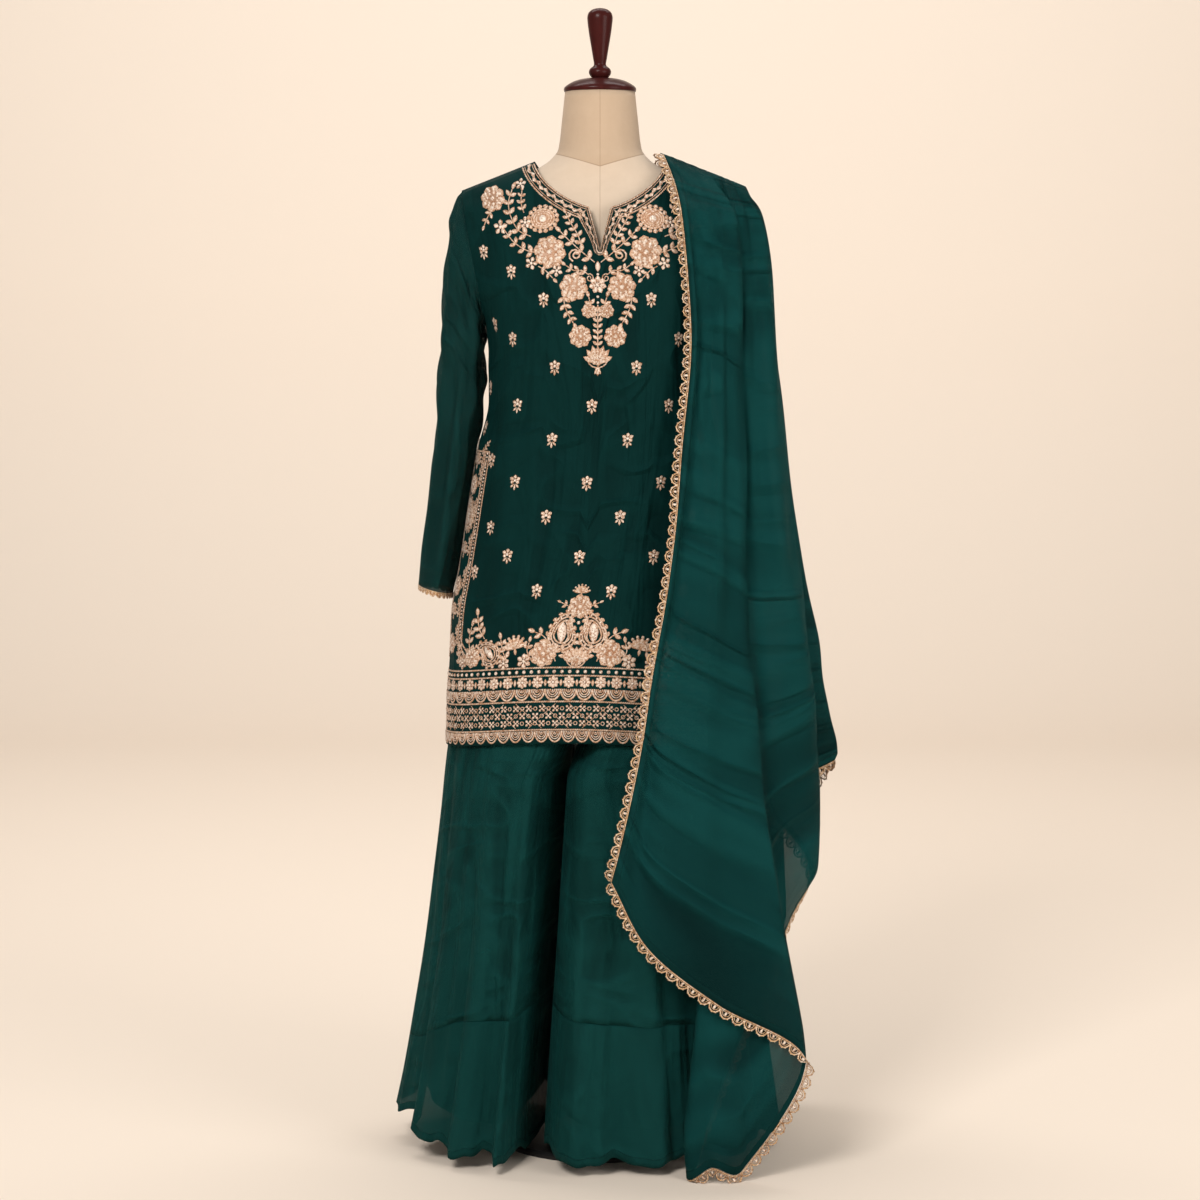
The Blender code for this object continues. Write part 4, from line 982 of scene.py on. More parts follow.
def crepe_weave():
    """Georgette's crinkled weave, as a shader group: a height, a mottle and soft creases."""
    made = bpy.data.node_groups.new("crepe weave", "ShaderNodeTree")
    shades = Shading(made)
    place = shades.coordinates("UV")
    threads = shades.times(shades.wave(place, "X", 420.0, 2.6, 1.6), shades.wave(place, "Y", 390.0, 2.8, 1.4))
    folds = shades.noise(shades.stretched(place, (11.0, 2.6, 1.0), 0.10), 1.6, 3.0, 0.5, 0.6)
    lines = shades.noise(shades.stretched(place, (5.5, 12.0, 1.0), 0.62), 1.1, 1.5, 0.5, 0.4)
    ridge = shades.times(shades.maths("ABSOLUTE", shades.minus(lines, 0.5)), 14.0)
    ridge = shades.minus(1.0, ridge, clamp=True)
    out = made.nodes.new("NodeGroupOutput")
    for label, value in (
        ("Height", shades.plus(threads, shades.noise(place, 900.0, 2.0, 0.6))),
        ("Mottle", shades.noise(place, 26.0, 3.0, 0.55)),
        ("Creases", shades.plus(shades.times(folds, 2.4), shades.times(ridge, 0.38))),
    ):
        made.interface.new_socket(label, in_out="OUTPUT", socket_type="NodeSocketFloat")
        shades.feed(out.inputs[label], value)
    return made


def new_material(name):
    made = bpy.data.materials.new(name)
    made.use_nodes = True
    return made, Shading(made.node_tree)


def georgette(name, colour, opacity, sheen=0.03, edged=False, wrinkle=0.009, valley=0.45):
    """Semi-sheer crepe georgette, with painted shade in its crease valleys as deep as valley sets; edged
    gives it a doubled, stitched hem by its edge distance.
    """
    made, shades = new_material(name)
    weave = shades.node("Group", node_tree=bpy.data.node_groups.get("crepe weave") or crepe_weave()).outputs

    def tone(share):
        return tuple(min(1.0, part * share) for part in colour)

    base = shades.mix(weave["Mottle"], tone(1.0), tone(1.35))
    # painted shade: the colour darkens towards a fifth of its tone in the crease valleys, where the folds
    # fall into shade, by the share valley
    low = shades.times(shades.minus(1.40, weave["Creases"]), 1.3, clamp=True)
    base = shades.mix(shades.times(low, valley), base, tone(0.2))
    alpha = shades.plus(shades.times(weave["Mottle"], 0.06), opacity - 0.03)
    if edged:
        edge = shades.mark("edge distance")
        hem = shades.maths("LESS_THAN", edge, HEM_BAND)
        from_stitch = shades.maths("ABSOLUTE", shades.minus(edge, HEM_BAND))
        stitch = shades.maths("LESS_THAN", from_stitch, HEM_STITCH)
        base = shades.mix(shades.times(hem, 0.35), base, tone(0.5))
        base = shades.mix(shades.times(stitch, 0.5), base, tone(0.35))
        alpha = shades.plus(alpha, shades.times(hem, 1 - opacity), clamp=True)
    creased = shades.bump(weave["Creases"], 1.0, wrinkle)
    shades.surface(
        Base_Color=base, Normal=shades.bump(weave["Height"], 0.35, 0.0004, Normal=creased), Roughness=0.78,
        Specular_IOR_Level=0.05, Sheen_Weight=sheen, Sheen_Roughness=0.42, Sheen_Tint=(0.10, 0.55, 0.50),
    )
    if opacity < 1:
        shades.surface(Alpha=alpha)
    return made


def needlework_material(name, thread, outline, pearl):
    """Metallic thread: paler on the ridges, copper round the rims, pearl-white where marked."""
    made, shades = new_material(name)
    place = shades.coordinates("UV")
    flecks = shades.minus(shades.noise(place, 700.0, 2.0, 0.65), 0.50, clamp=True)
    rims = shades.times(shades.maths("POWER", shades.mark("rim"), 1.6), 0.78)
    dark = shades.plus(rims, shades.times(flecks, 1.1), clamp=True)
    base = shades.mix(shades.noise(place, 90.0), thread, tuple(part * 0.80 for part in thread))
    base = shades.mix(shades.times(shades.mark("pearl"), 0.9), base, pearl)
    cells = shades.node("TexVoronoi", Vector=place, Scale=620.0).outputs["Color"]
    cell = shades.node("SeparateColor", Color=cells).outputs[0]
    base = shades.mix(shades.times(shades.maths("GREATER_THAN", cell, 0.70), 0.50), base, pearl)
    dark = shades.plus(dark, shades.times(shades.maths("LESS_THAN", cell, 0.26), 0.60), clamp=True)
    stitch = shades.wave(place, "DIAGONAL", 520.0, 3.0, 1.5)
    shades.surface(
        Base_Color=shades.mix(dark, base, outline), Normal=shades.bump(stitch, 0.5, 0.0003), Metallic=0.35,
        Roughness=0.42, Sheen_Weight=0.15,
    )
    return made


def lace_material(colours):
    made = bpy.data.materials.get("gold lace")
    return made or needlework_material("gold lace", colours.lace, colours.outline, colours.pearl)


def linen_material():
    """Unbleached linen: plain weave with slubs, a warmer neck above its seam, and a centre seam."""
    made, shades = new_material("linen")
    place = shades.coordinates("Object")
    across, _, up = shades.node("SeparateXYZ", Vector=place).outputs
    aside = shades.maths("ABSOLUTE", across)
    above = shades.minus(up, shades.plus(shades.times(aside, 0.30), NECK_SEAM_HEIGHT))
    neck = shades.times(shades.plus(above, 0.001), 500.0, clamp=True)

    def seam(away, sharpness, share):
        return shades.times(shades.minus(1.0, shades.times(away, sharpness), clamp=True), share)

    neck_seam = seam(shades.maths("ABSOLUTE", above), 900.0, 0.75)
    seams = shades.maths("MAXIMUM", neck_seam, seam(aside, 1400.0, 0.6))
    slub = shades.noise(place, 60.0, 4.0, 0.6)
    body = shades.mix(slub, (0.70, 0.56, 0.43), (0.64, 0.50, 0.375))
    collar = shades.mix(slub, (0.58, 0.43, 0.30), (0.52, 0.375, 0.255))
    weave = shades.plus(shades.wave(place, "Z", 520.0, 1.6, 2.0), shades.wave(place, "X", 520.0, 1.6, 2.0))
    shades.surface(
        Base_Color=shades.mix(seams, shades.mix(neck, body, collar), (0.30, 0.185, 0.11)),
        Normal=shades.bump(shades.minus(weave, shades.times(seams, 3.0)), 0.35, 0.0005), Roughness=0.88,
        Specular_IOR_Level=0.2, Sheen_Weight=0.15,
    )
    return made


def mahogany_material():
    """Dark polished wood, its grain along the turned pieces."""
    made, shades = new_material("mahogany")
    place = shades.stretched(shades.coordinates("Object"), (60.0, 60.0, 9.0))
    grain = shades.noise(place, 2.2, 5.0, 0.65, 0.8)
    shades.surface(
        Base_Color=shades.mix(grain, (0.070, 0.012, 0.010), (0.028, 0.005, 0.0045)),
        Normal=shades.bump(grain, 0.06, 0.0003), Roughness=0.30, Specular_IOR_Level=0.1, Coat_Weight=0.05,
        Coat_Roughness=0.16,
    )
    return made


def steel_material():
    """Blackened steel, mottled a little."""
    made, shades = new_material("blackened steel")
    fleck = shades.noise(shades.coordinates("Object"), 240.0, 3.0)
    shades.surface(
        Base_Color=shades.mix(fleck, (0.016, 0.016, 0.017), (0.030, 0.029, 0.028)),
        Roughness=shades.plus(shades.times(fleck, 0.18), 0.34), Metallic=0.7,
    )
    return made


def backdrop_material():
    """Cream paper, with painted shade: darker on the floor and where the wall turns into it, paler up the
    wall.
    """
    made, shades = new_material("cream paper")
    up = shades.node("SeparateXYZ", Vector=shades.coordinates("Object")).outputs["Z"]
    # painted shade: the paper's colour ramps from the shaded tone on the floor to the lit tone 1.25 m up the
    # wall
    ramp = shades.node("ValToRGB", Fac=shades.times(up, 0.8, clamp=True))
    for stop, colour in zip(ramp.color_ramp.elements, (STAGE_SHADED, STAGE_HIGH)):
        stop.color = (*colour, 1)
    shades.surface(Base_Color=ramp.outputs["Color"], Roughness=0.95, Specular_IOR_Level=0.1)
    return made


# --- the kurta ---
def mirrored(half):
    return np.concatenate([-half[:0:-1], half])


def panel_columns(steps):
    """Places of a panel's columns, with one at each corner of the neckline and closer at the sides."""
    notch, neck = NOTCH_HALF_WIDTH / SHOULDER_TIP[0], NECK_POINT[0] / SHOULDER_TIP[0]
    side = neck + (1 - neck) * np.sin(np.linspace(0, math.pi / 2, steps))
    middle, curve = np.linspace(0, notch, 4), np.linspace(notch, neck, steps - 8)
    return mirrored(np.concatenate([middle, curve[1:], side[1:]]))


def panel_points(base, neckline, hem, rise, table, way, reach):
    """A panel's inner face with its creases, from its hem, which rises at the sides, to its top."""
    across = panel_columns(26)[None, :]
    low = hem - rise * across**2
    z = low + (panel_top(across, neckline) - low) * np.linspace(0, 1, 116)[:, None]
    points = base(across + 0 * z, z)
    normals = surface_normals(points)
    normals = normals * way * np.sign(normals[..., 1].sum())
    return points + normals * (creases(table, points[..., 0], points[..., 2]) * reach)[..., None]


# --- the sleeves ---
def sleeve_points(side, turn, down):
    """A sleeve's inner face: turn goes once round from the underarm, down from armhole to cuff."""
    rings = curve_points(np.array(SLEEVE_RINGS), down.ravel()).reshape(*down.shape, 6)
    outer_x, outer_z, inner_x, inner_z, centre_y, half_depth = np.moveaxis(rings, -1, 0)
    angle = 2 * math.pi * turn
    outwards = (1 - np.cos(angle)) / 2
    x = inner_x + (outer_x - inner_x) * outwards
    z = inner_z + (outer_z - inner_z) * outwards
    return np.stack([side * x, centre_y + half_depth * np.sin(angle), z], axis=-1)


def sleeve_creases(side, turn, down):
    """Soft folds down the sleeve, with slanting ones below the armhole and at the elbow."""
    angle = 2 * math.pi * turn
    fade = smooth_step(down / 0.16) * smooth_step((1.02 - down) / 0.10)
    long_folds = np.sin(5 * angle + 3.2 * down + side) + 0.6 * np.sin(9 * angle - 2.1 * down + 2 * side)
    slanting = np.sin(3 * angle + 30 * down + 1.3 * side) * np.exp(-(((down - 0.40) / 0.20) ** 2))
    elbow = np.sin(2 * angle - 46 * down + side) * np.exp(-(((down - 0.62) / 0.12) ** 2))
    crumple = 0.5 * np.sin(13 * angle + 19 * down) * np.sin(4 * angle - 27 * down + side)
    return fade * (0.0026 * long_folds + 0.0026 * slanting + 0.0028 * elbow + 0.0014 * crumple)


# --- the trousers ---
def leg_grid(side, columns, rows, low, high, inset=None, margin=0.0008):
    """A leg's points from low(turn) to high(turn), with its edges a margin away from the inseam."""
    turn = (margin + np.linspace(0, 1, columns) * (1 - 2 * margin))[None, :]
    part = np.linspace(0, 1, rows)[:, None]
    bottom, top = low(turn), high(turn)
    z = bottom + (top - bottom) * part
    turn = turn + 0 * z
    return leg_surface(side, turn, z, 0.0 if inset is None else inset(z)), z - bottom


def flounce_hem(side, hem, turn):
    """Height of a flounce's rippled hem, a little longer at the front."""
    ripple = 0.0022 * np.sin(2 * math.pi * 17 * turn + side) + 0.0014 * np.sin(2 * math.pi * 29 * turn)
    longer = FLOUNCE_DROP * (0.4 + 0.6 * np.maximum(np.sin(2 * math.pi * turn), 0))
    longer = longer + 0.014 * np.maximum(np.cos(2 * math.pi * turn), 0) ** 2
    return round_leg(hem, turn) - 0.6 * leg_fold(side, turn, 0) - longer + ripple


Cut = namedtuple("Cut", "leg leg_area flounce lining lining_area")


def waistband_points():
    angle = 2 * math.pi * np.linspace(0, 1, 113)[None, :]
    z = WAIST + SEAM + np.linspace(0, WAISTBAND_HEIGHT, 7)[:, None] + 0 * angle
    left, right, front, back = (between(TROUSER_SECTIONS, column, z) for column in Hip._fields[1:5])
    depth = np.where(np.cos(angle) > 0, front, back)
    x = (left + right) / 2 + (right - left) / 2 * np.sin(angle)
    y = -np.sign(np.cos(angle)) * depth * rounded(np.sin(angle) + 0 * z, 2.2)
    gathers = 0.0007 * np.sin(44 * angle)
    return np.stack([x * (1 + gathers), y * (1 + gathers), z], axis=-1)


# --- the dupatta ---
DUPATTA_COLUMNS = 104
DUPATTA_STEPS = 120  # rows from the shoulder to either end
DUPATTA_MIDDLE = np.array([0.10, 0.0, 0.0])


def dupatta_points(reach):
    """The whole sheet, its rows running from the front end over the shoulder to the back end."""
    front, back = fold_lines(FRONT_FOLDS, "front"), fold_lines(BACK_FOLDS, "back")[::-1]
    columns = np.linspace(0, 1, DUPATTA_COLUMNS)
    front_net = curve_points(front, columns)
    places = np.interp(front_net[:, 0, 0], back[:, 0, 0], np.linspace(0, 1, len(back)))
    back_net = curve_points(back, places)
    top = (front_net[:, :1] + back_net[:, :1]) / 2
    net = np.concatenate([front_net[:, :0:-1], top, back_net[:, 1:]], axis=1).transpose(1, 0, 2)
    rows = np.linspace(0, 1, 2 * DUPATTA_STEPS + 1)
    points = curve_points(net, rows)
    down = np.abs(rows * 2 - 1)[:, None]
    points += dupatta_folds(points, columns[None, :], down) * reach
    middle = DUPATTA_STEPS
    meeting = (points[: middle + 1, -1] + points[middle:, -1][::-1]) / 2
    fade = np.clip(1 - (DUPATTA_COLUMNS - 1 - np.arange(DUPATTA_COLUMNS)) / 6, 0, 1)[None, :, None]
    points[: middle + 1] += (meeting - points[: middle + 1, -1])[:, None] * fade
    points[middle + 1 :] += (meeting[::-1][1:] - points[middle + 1 :, -1])[:, None] * fade
    points[:middle] = clear_of_suit(points[:middle], "front")
    points[middle + 1 :] = clear_of_suit(points[middle + 1 :], "back")
    last = (points[:middle, -1] + points[middle + 1 :, -1][::-1]) / 2
    points[:middle, -1], points[middle + 1 :, -1] = last, last[::-1]
    return points


def dupatta_folds(points, across, down):
    """Narrow pleats on the shoulder, which open into long soft folds and slanting wrinkles below."""
    normals = surface_normals(points)
    outwards = points - DUPATTA_MIDDLE
    normals *= np.sign((normals[..., :2] * outwards[..., :2]).sum(axis=-1, keepdims=True))
    normals[..., 2] = 0
    wave = 2 * math.pi * across
    pleats = 0.0016 * (1 + np.sin(15 * wave + 1.7 * np.sin(2.2 * wave))) * (1 - smooth_step(down / 0.55))
    long_folds = 0.0062 * (1 + np.sin(5 * wave + 2.0 * down + 1.3 * np.sin(1.7 * wave)))
    long_folds += 0.0022 * (1 + np.sin(12 * wave + 1.0 * down))
    long_folds = long_folds * smooth_step(down / 0.30)
    slanting = 0.0026 * (1 + np.sin(26 * down + 4.5 * wave)) * smooth_step((down - 0.30) / 0.25)
    crumple = 0.0018 * (1 + np.sin(11 * wave + 17 * down) * np.sin(3.1 * wave - 31 * down))
    crumple = crumple * smooth_step(down / 0.2)
    still = smooth_step((1.02 - down) / 0.05)
    return normals * ((pleats + long_folds + slanting * 0.8 + crumple) * still)[..., None]


def edge_distance(points):
    """How far each point of the dupatta is from the nearest of its edges, measured over the cloth."""
    along = np.linalg.norm(np.diff(points, axis=0), axis=2)
    from_front = np.concatenate([np.zeros((1, points.shape[1])), np.cumsum(along, axis=0)])
    from_back = from_front[-1:] - from_front
    over = np.linalg.norm(np.diff(points, axis=1), axis=2)
    from_inner = np.concatenate([np.zeros((points.shape[0], 1)), np.cumsum(over, axis=1)], axis=1)
    return np.minimum(np.minimum(from_front, from_back), from_inner)


class EdgeLine:
    """An edge of the dupatta: u metres along it, v metres out from the cloth, lift off its face."""

    GAP = 0.0012

    def __init__(self, edge, inside):
        keep = np.concatenate([[True], np.linalg.norm(np.diff(edge, axis=0), axis=1) > 1e-6])
        self.edge, inside = edge[keep], inside[keep]
        self.places = distance_along(self.edge)
        self.length = self.places[-1]
        along = unit(np.gradient(self.edge, axis=0))
        out = self.edge - inside
        self.out = unit(out - along * (out * along).sum(axis=1, keepdims=True))
        normal = np.cross(along, self.out)
        away = self.edge * (1, 1, 0) - DUPATTA_MIDDLE
        self.normal = normal * np.sign((normal * away).sum())

    def lay(self, u, v, lift):
        edge, out, normal = (read_along(self.places, rows, u) for rows in (self.edge, self.out, self.normal))
        lift = lift + CLOTH_WALL / 2
        points = edge + unit(out) * (self.GAP - v)[..., None] + unit(normal) * lift[..., None]
        points[..., 2] = np.maximum(points[..., 2], 0.0005)
        return points


def lace_work(length, pitch):
    """Scalloped lace: a corded heading, and in each scallop two gold rings round a long pearl bead."""
    work = Needlework()
    count = max(1, round(length / pitch))
    pitch = length / count
    steps = max(2, int(length / 0.004))
    for v, width in ((-0.0004, 0.0017), (-0.0022, 0.0010)):
        work.at(0, v).cord(np.column_stack([np.linspace(0, length, steps), np.zeros(steps)]), width, 0.0011)
    for k in range(count):
        work.at((k + 0.5) * pitch, -0.0018)
        work.arc(0, 0, pitch * 0.46, 180, 360, 0.0022, 0.0012, steps=9, squash=1.16)
        work.arc(0, 0, pitch * 0.31, 180, 360, 0.0010, 0.0012, steps=7, squash=1.18)
        work.bead(0, -pitch * 0.17, pitch * 0.105, 0.0016, 0.85, 1.9)
        for m in range(5):
            a = math.radians(198 + 36 * m)
            x, y = pitch * 0.50 * math.cos(a), pitch * 0.585 * math.sin(a)
            work.bead(x, y, pitch * 0.058, 0.0012, 0.2, sides=6)
        work.at(k * pitch, -0.0035).bead(0, 0, pitch * 0.075, 0.0014, pearl=0.5, sides=6)
    return work


# --- the dress form ---
def torso_points():
    angle = 2 * math.pi * np.linspace(0, 1, 81)[None, :]
    heights = [section.height for section in TORSO_SECTIONS]
    rows = np.unique(np.concatenate([np.linspace(a, b, 5) for a, b in zip(heights, heights[1:])]))
    z = rows[:, None] + 0 * angle
    half_width, front, back, roundness = (between(TORSO_SECTIONS, column, z) for column in Body._fields[1:])
    sine, cosine = np.sin(angle), np.cos(angle)
    x = half_width * np.sign(sine) * np.abs(sine) ** (2 / roundness)
    depth = np.where(cosine > 0, front, back)
    y = -depth * np.sign(cosine) * np.abs(cosine) ** (2 / roundness)
    return np.stack([x, y, z], axis=-1)


CAP_PROFILE = (  # radius and height
    (0.0495, 1.4690), (0.0500, 1.4720), (0.0490, 1.4745), (0.045, 1.4780), (0.036, 1.4828), (0.024, 1.4862),
    (0.012, 1.4875),
)
FINIAL_PROFILE = (
    (0.0112, 1.4878), (0.0142, 1.4915), (0.0154, 1.4957), (0.0138, 1.5000), (0.0096, 1.5035),
    (0.0083, 1.5068), (0.0097, 1.5150), (0.0125, 1.5320), (0.0155, 1.5500), (0.0172, 1.5640),
    (0.0175, 1.5705), (0.0158, 1.5760), (0.0115, 1.5800), (0.006, 1.5820), (0.0012, 1.5825),
)


def turned(name, profile, steps):
    """A turned piece: a disc, extruded upwards ring by ring along a smooth profile."""
    smooth = curve_points(profile, np.linspace(0, 1, steps))
    deselect()
    radius, height = smooth[0]
    bpy.ops.mesh.primitive_circle_add(vertices=64, radius=radius, fill_type="NGON", location=(0, 0, height))
    obj = bpy.context.object
    obj.name = obj.data.name = name
    bpy.ops.object.transform_apply(location=True)
    mode("EDIT")
    for (before, low), (after, high) in zip(smooth, smooth[1:]):
        bpy.ops.mesh.extrude_region_move(TRANSFORM_OT_translate={"value": (0, 0, high - low)})
        share = after / before
        bpy.ops.transform.resize(value=(share, share, 1), center_override=(0, 0, high))
    bpy.ops.mesh.select_all(action="SELECT")
    bpy.ops.mesh.normals_make_consistent(inside=False)
    mode("OBJECT")
    return obj


# --- the kurta's embroidery ---
YOKE_CENTRE = -0.003
NECK_BAND = 0.019
NOTCH_BAND_SHARE = 0.45  # how narrow the neck border grows at the bottom of the notch
SLIT_BAND = 0.070
BUTI_ROWS = (  # height, and the places across it
    (1.246, (-0.158,)), (1.219, (-0.120, 0.122)), (1.181, (-0.076, 0.069)), (1.148, (-0.142, 0.140)),
    (1.128, (-0.118, 0.106)), (1.090, (-0.061, 0.049, 0.136)), (1.061, (-0.150,)),
    (1.038, (-0.112, -0.011, 0.093)), (1.005, (-0.158,)), (0.992, (-0.065, 0.037, 0.138)), (0.962, (-0.148,)),
    (0.934, (-0.116, -0.018, 0.082)), (0.888, (-0.073, 0.027, 0.126)), (0.871, (-0.150,)),
    (0.834, (-0.126, -0.028, 0.072)), (0.809, (-0.172,)), (0.788, (-0.086, 0.015, 0.114)),
)
YOKE_VINES = (  # places along each stem, then the size and the number of its leaves
    ((0.004, 1.233), (0.020, 1.246), (0.038, 1.262), (0.050, 1.274), 0.0125, 4),
    ((0.021, 1.252), (0.027, 1.270), (0.036, 1.285), (0.043, 1.299), 0.0105, 5),
    ((0.090, 1.268), (0.107, 1.276), (0.118, 1.294), (0.122, 1.314), (0.117, 1.332), 0.0130, 6),
    ((0.082, 1.246), (0.098, 1.250), (0.115, 1.261), (0.128, 1.277), 0.0120, 4),
    ((0.080, 1.228), (0.070, 1.222), (0.060, 1.212), 0.0100, 2),
    ((0.046, 1.192), (0.045, 1.178), (0.040, 1.164), (0.033, 1.152), 0.0115, 4),
    ((0.003, 1.158), (0.008, 1.172), (0.012, 1.186), 0.0110, 2),
    ((0.142, 1.306), (0.150, 1.296), (0.156, 1.284), 0.0095, 2),
    ((0.100, 1.300), (0.104, 1.314), (0.103, 1.330), 0.0090, 3),
    ((0.012, 1.216), (0.021, 1.222), (0.032, 1.222), (0.043, 1.229), 0.0105, 3),
)
HEM_VINES = (
    ((0.028, 0.112), (0.036, 0.132), (0.046, 0.146), (0.058, 0.152), 0.0135, 3),
    ((0.060, 0.112), (0.068, 0.126), (0.066, 0.138), 0.0110, 2),
    ((0.096, 0.112), (0.104, 0.128), (0.108, 0.144), 0.0120, 3),
    ((0.136, 0.146), (0.146, 0.160), (0.150, 0.178), 0.0140, 3),
    ((0.150, 0.112), (0.160, 0.128), (0.164, 0.146), (0.160, 0.164), 0.0130, 4),
    ((0.182, 0.110), (0.188, 0.126), (0.186, 0.146), 0.0120, 3),
    ((0.010, 0.112), (0.018, 0.124), (0.024, 0.130), 0.0110, 2),
)


def lay_on_panel(base, way, x, z, lift):
    """Points on a panel's outer face above the underarm, by x and height, and raised by lift."""
    def at(x_here, z_here):
        return base(x_here / kurta_width(z_here)[1], z_here)

    normal = normal_at(at, x, z, 0.0012)
    normal *= np.sign(normal[..., 1:2] * way)
    return at(x, z) + normal * (CLOTH_WALL + lift)[..., None]


class NeckLine:
    """The neckline as a band: u metres along it from the wearer's right, v metres out from its edge."""

    ROWS = 420

    def __init__(self, neckline, base, way):
        half = np.linspace(0, 1, 160)[1:] ** 1.4 * NECK_POINT[0] * 0.992
        if way < 0:
            notch = np.linspace(0.0004, NOTCH_HALF_WIDTH - 1e-5, 50)
            half = np.concatenate([notch, half[half > NOTCH_HALF_WIDTH]])
        x = np.concatenate([-half[::-1], [0.0], half])
        path = np.column_stack([x, neckline(x)])
        places = distance_along(path)
        self.length = places[-1]
        self.places = np.linspace(0, self.length, self.ROWS)
        path = read_along(places, path, self.places)
        along = np.gradient(path, axis=0)
        out = unit(np.column_stack([along[:, 1], -along[:, 0]]))
        span = max(1, int(0.004 / (self.length / self.ROWS)))
        weights = np.ones(2 * span + 1) / (2 * span + 1)
        smooth = [np.convolve(np.pad(part, span, mode="edge"), weights, mode="valid") for part in out.T]
        self.rows = np.concatenate([path, unit(np.column_stack(smooth))], axis=1)
        self.base, self.way = base, way

    def lay(self, u, v, lift):
        x, z, out_x, out_z = read_along(self.places, self.rows, u).T
        if self.way < 0:
            part = smooth_step((np.abs(x) / NOTCH_HALF_WIDTH - 0.1) / 0.9)
            v = v * (NOTCH_BAND_SHARE + (1 - NOTCH_BAND_SHARE) * part)
        x, z = x + out_x * v, z + out_z * v
        z = np.where(np.abs(x) > 0.08, np.minimum(z, shoulder_line(x) - 0.002), z)
        return lay_on_panel(self.base, self.way, x, z, lift)


def rope(work, path, width):
    """A twisted rope: short stitches slanting across a path of (u, v)."""
    places = distance_along(path)
    count = max(2, int(places[-1] / (width * 0.98)))
    for place in (np.arange(count) + 0.5) / count * places[-1]:
        i = min(int(np.searchsorted(places, place, side="right")) - 1, len(path) - 2)
        share = (place - places[i]) / max(places[i + 1] - places[i], 1e-9)
        u, v = path[i] + (path[i + 1] - path[i]) * share
        du, dv = path[i + 1] - path[i]
        lean = math.degrees(math.atan2(dv, du))
        work.at(u, v, lean - 38)
        work.petal(-width * 0.75, 0, width * 1.5, width * 0.86, -90)


def line(u0, v0, u1, v1, steps=2):
    return np.column_stack([np.linspace(u0, u1, steps), np.linspace(v0, v1, steps)])


def neck_work(length):
    """The border round the neckline: ropes at both edges, and pearl-hearted medallions between them."""
    work = Needlework()
    for inner, outer, width in ((0.0012, 0.0014, 0.0024), (0.0042, 0.0044, 0.0013)):
        for v in (inner, NECK_BAND - outer):
            rope(work, line(0, v, length, v), width)
    count = max(3, round(length / 0.0128))
    pitch = length / count
    for k in range(count):
        for way, u in ((1, k * pitch), (-1, (k + 0.5) * pitch)):
            work.at(u, NECK_BAND * 0.5 - way * 0.0036, 90 - way * 90)
            for turn in (-46, -23, 0, 23, 46):
                work.petal(0, 0, 0.0056, 0.0019, turn, 0.0012, pearl=0.25, point=0.8)
            work.bead(0, 0.0008, 0.0012, 0.0017, pearl=0.9, sides=6)
    return work


def yoke_work(flat):
    """Medallions, roses, buds and vines below the neckline, the same on both sides of its centre."""
    work = Needlework()

    def put(x, z, angle=0.0, way=1):
        return work.at(flat.place(YOKE_CENTRE + way * x, z), z, angle, mirror=way)

    for way in (-1, 1):
        for (x, z), *rest, leaf, pairs in YOKE_VINES:
            stops = [(0.0, 0.0), *((a - x, b - z) for a, b in rest)]
            put(x, z, way=way).vine(stops, leaf, pairs)
        put(0.030, 1.243, 20, way).curl(0.019)
        put(0.011, 1.212, 150, way).curl(0.012)
        put(0.0745, 1.292, -14, way).medallion(0.045, 0.036)
        put(0.0650, 1.247, way=way).rose(0.0225)
        put(0.0325, 1.200, way=way).rose(0.0195)
        put(0.0120, 1.168, way=way).rose(0.0100, 2)
        put(0.0235, 1.134, way=way).rose(0.0155)
        put(0.1430, 1.320, way=way).rose(0.0185)
        put(0.0900, 1.232, 20, way).flower(0.0090)
        put(0.1320, 1.281, way=way).flower(0.0105)
        put(0.1050, 1.340, way=way).flower(0.0080)
        put(0.0555, 1.222, -30, way).flower(0.0085)
        put(0.0985, 1.287, way=way).flower(0.0085)
    put(0, 1.203).flower(0.0120, 7)
    put(0, 1.226).petal(0, -0.006, 0.015, 0.007, 0, 0.0016, pearl=0.5)
    for height in (1.217, 1.187, 1.179):
        put(0, height).bead(0, 0, 0.0020, pearl=0.8, sides=6)
    work.at(flat.place(YOKE_CENTRE, 1.140), 1.120).cord(line(0, 0, 0, 0.056, 9), 0.0017, 0.0010)
    for k in range(6):
        for turn in (50, -50):
            put(0, 1.122 + 0.0078 * k).petal(0, 0, 0.0088, 0.0044, turn, 0.0012, pearl=0.25)
    put(0, 1.1085).lotus(0.031, 0.025)
    put(0, 1.1045).rose(0.0100, 2)
    put(0, 1.089).petal(0, 0.006, 0.014, 0.0070, 180, 0.0018, pearl=0.6)
    for way in (-1, 1):
        put(0, 1.0905, way=way).petal(0, 0, 0.0085, 0.0038, -150, 0.0012)
    return work


def buti_work(flat, scale):
    work = Needlework()
    for z, places in BUTI_ROWS:
        for x in places:
            work.at(flat.place(x, z), z, 0, scale).buti()
    return work


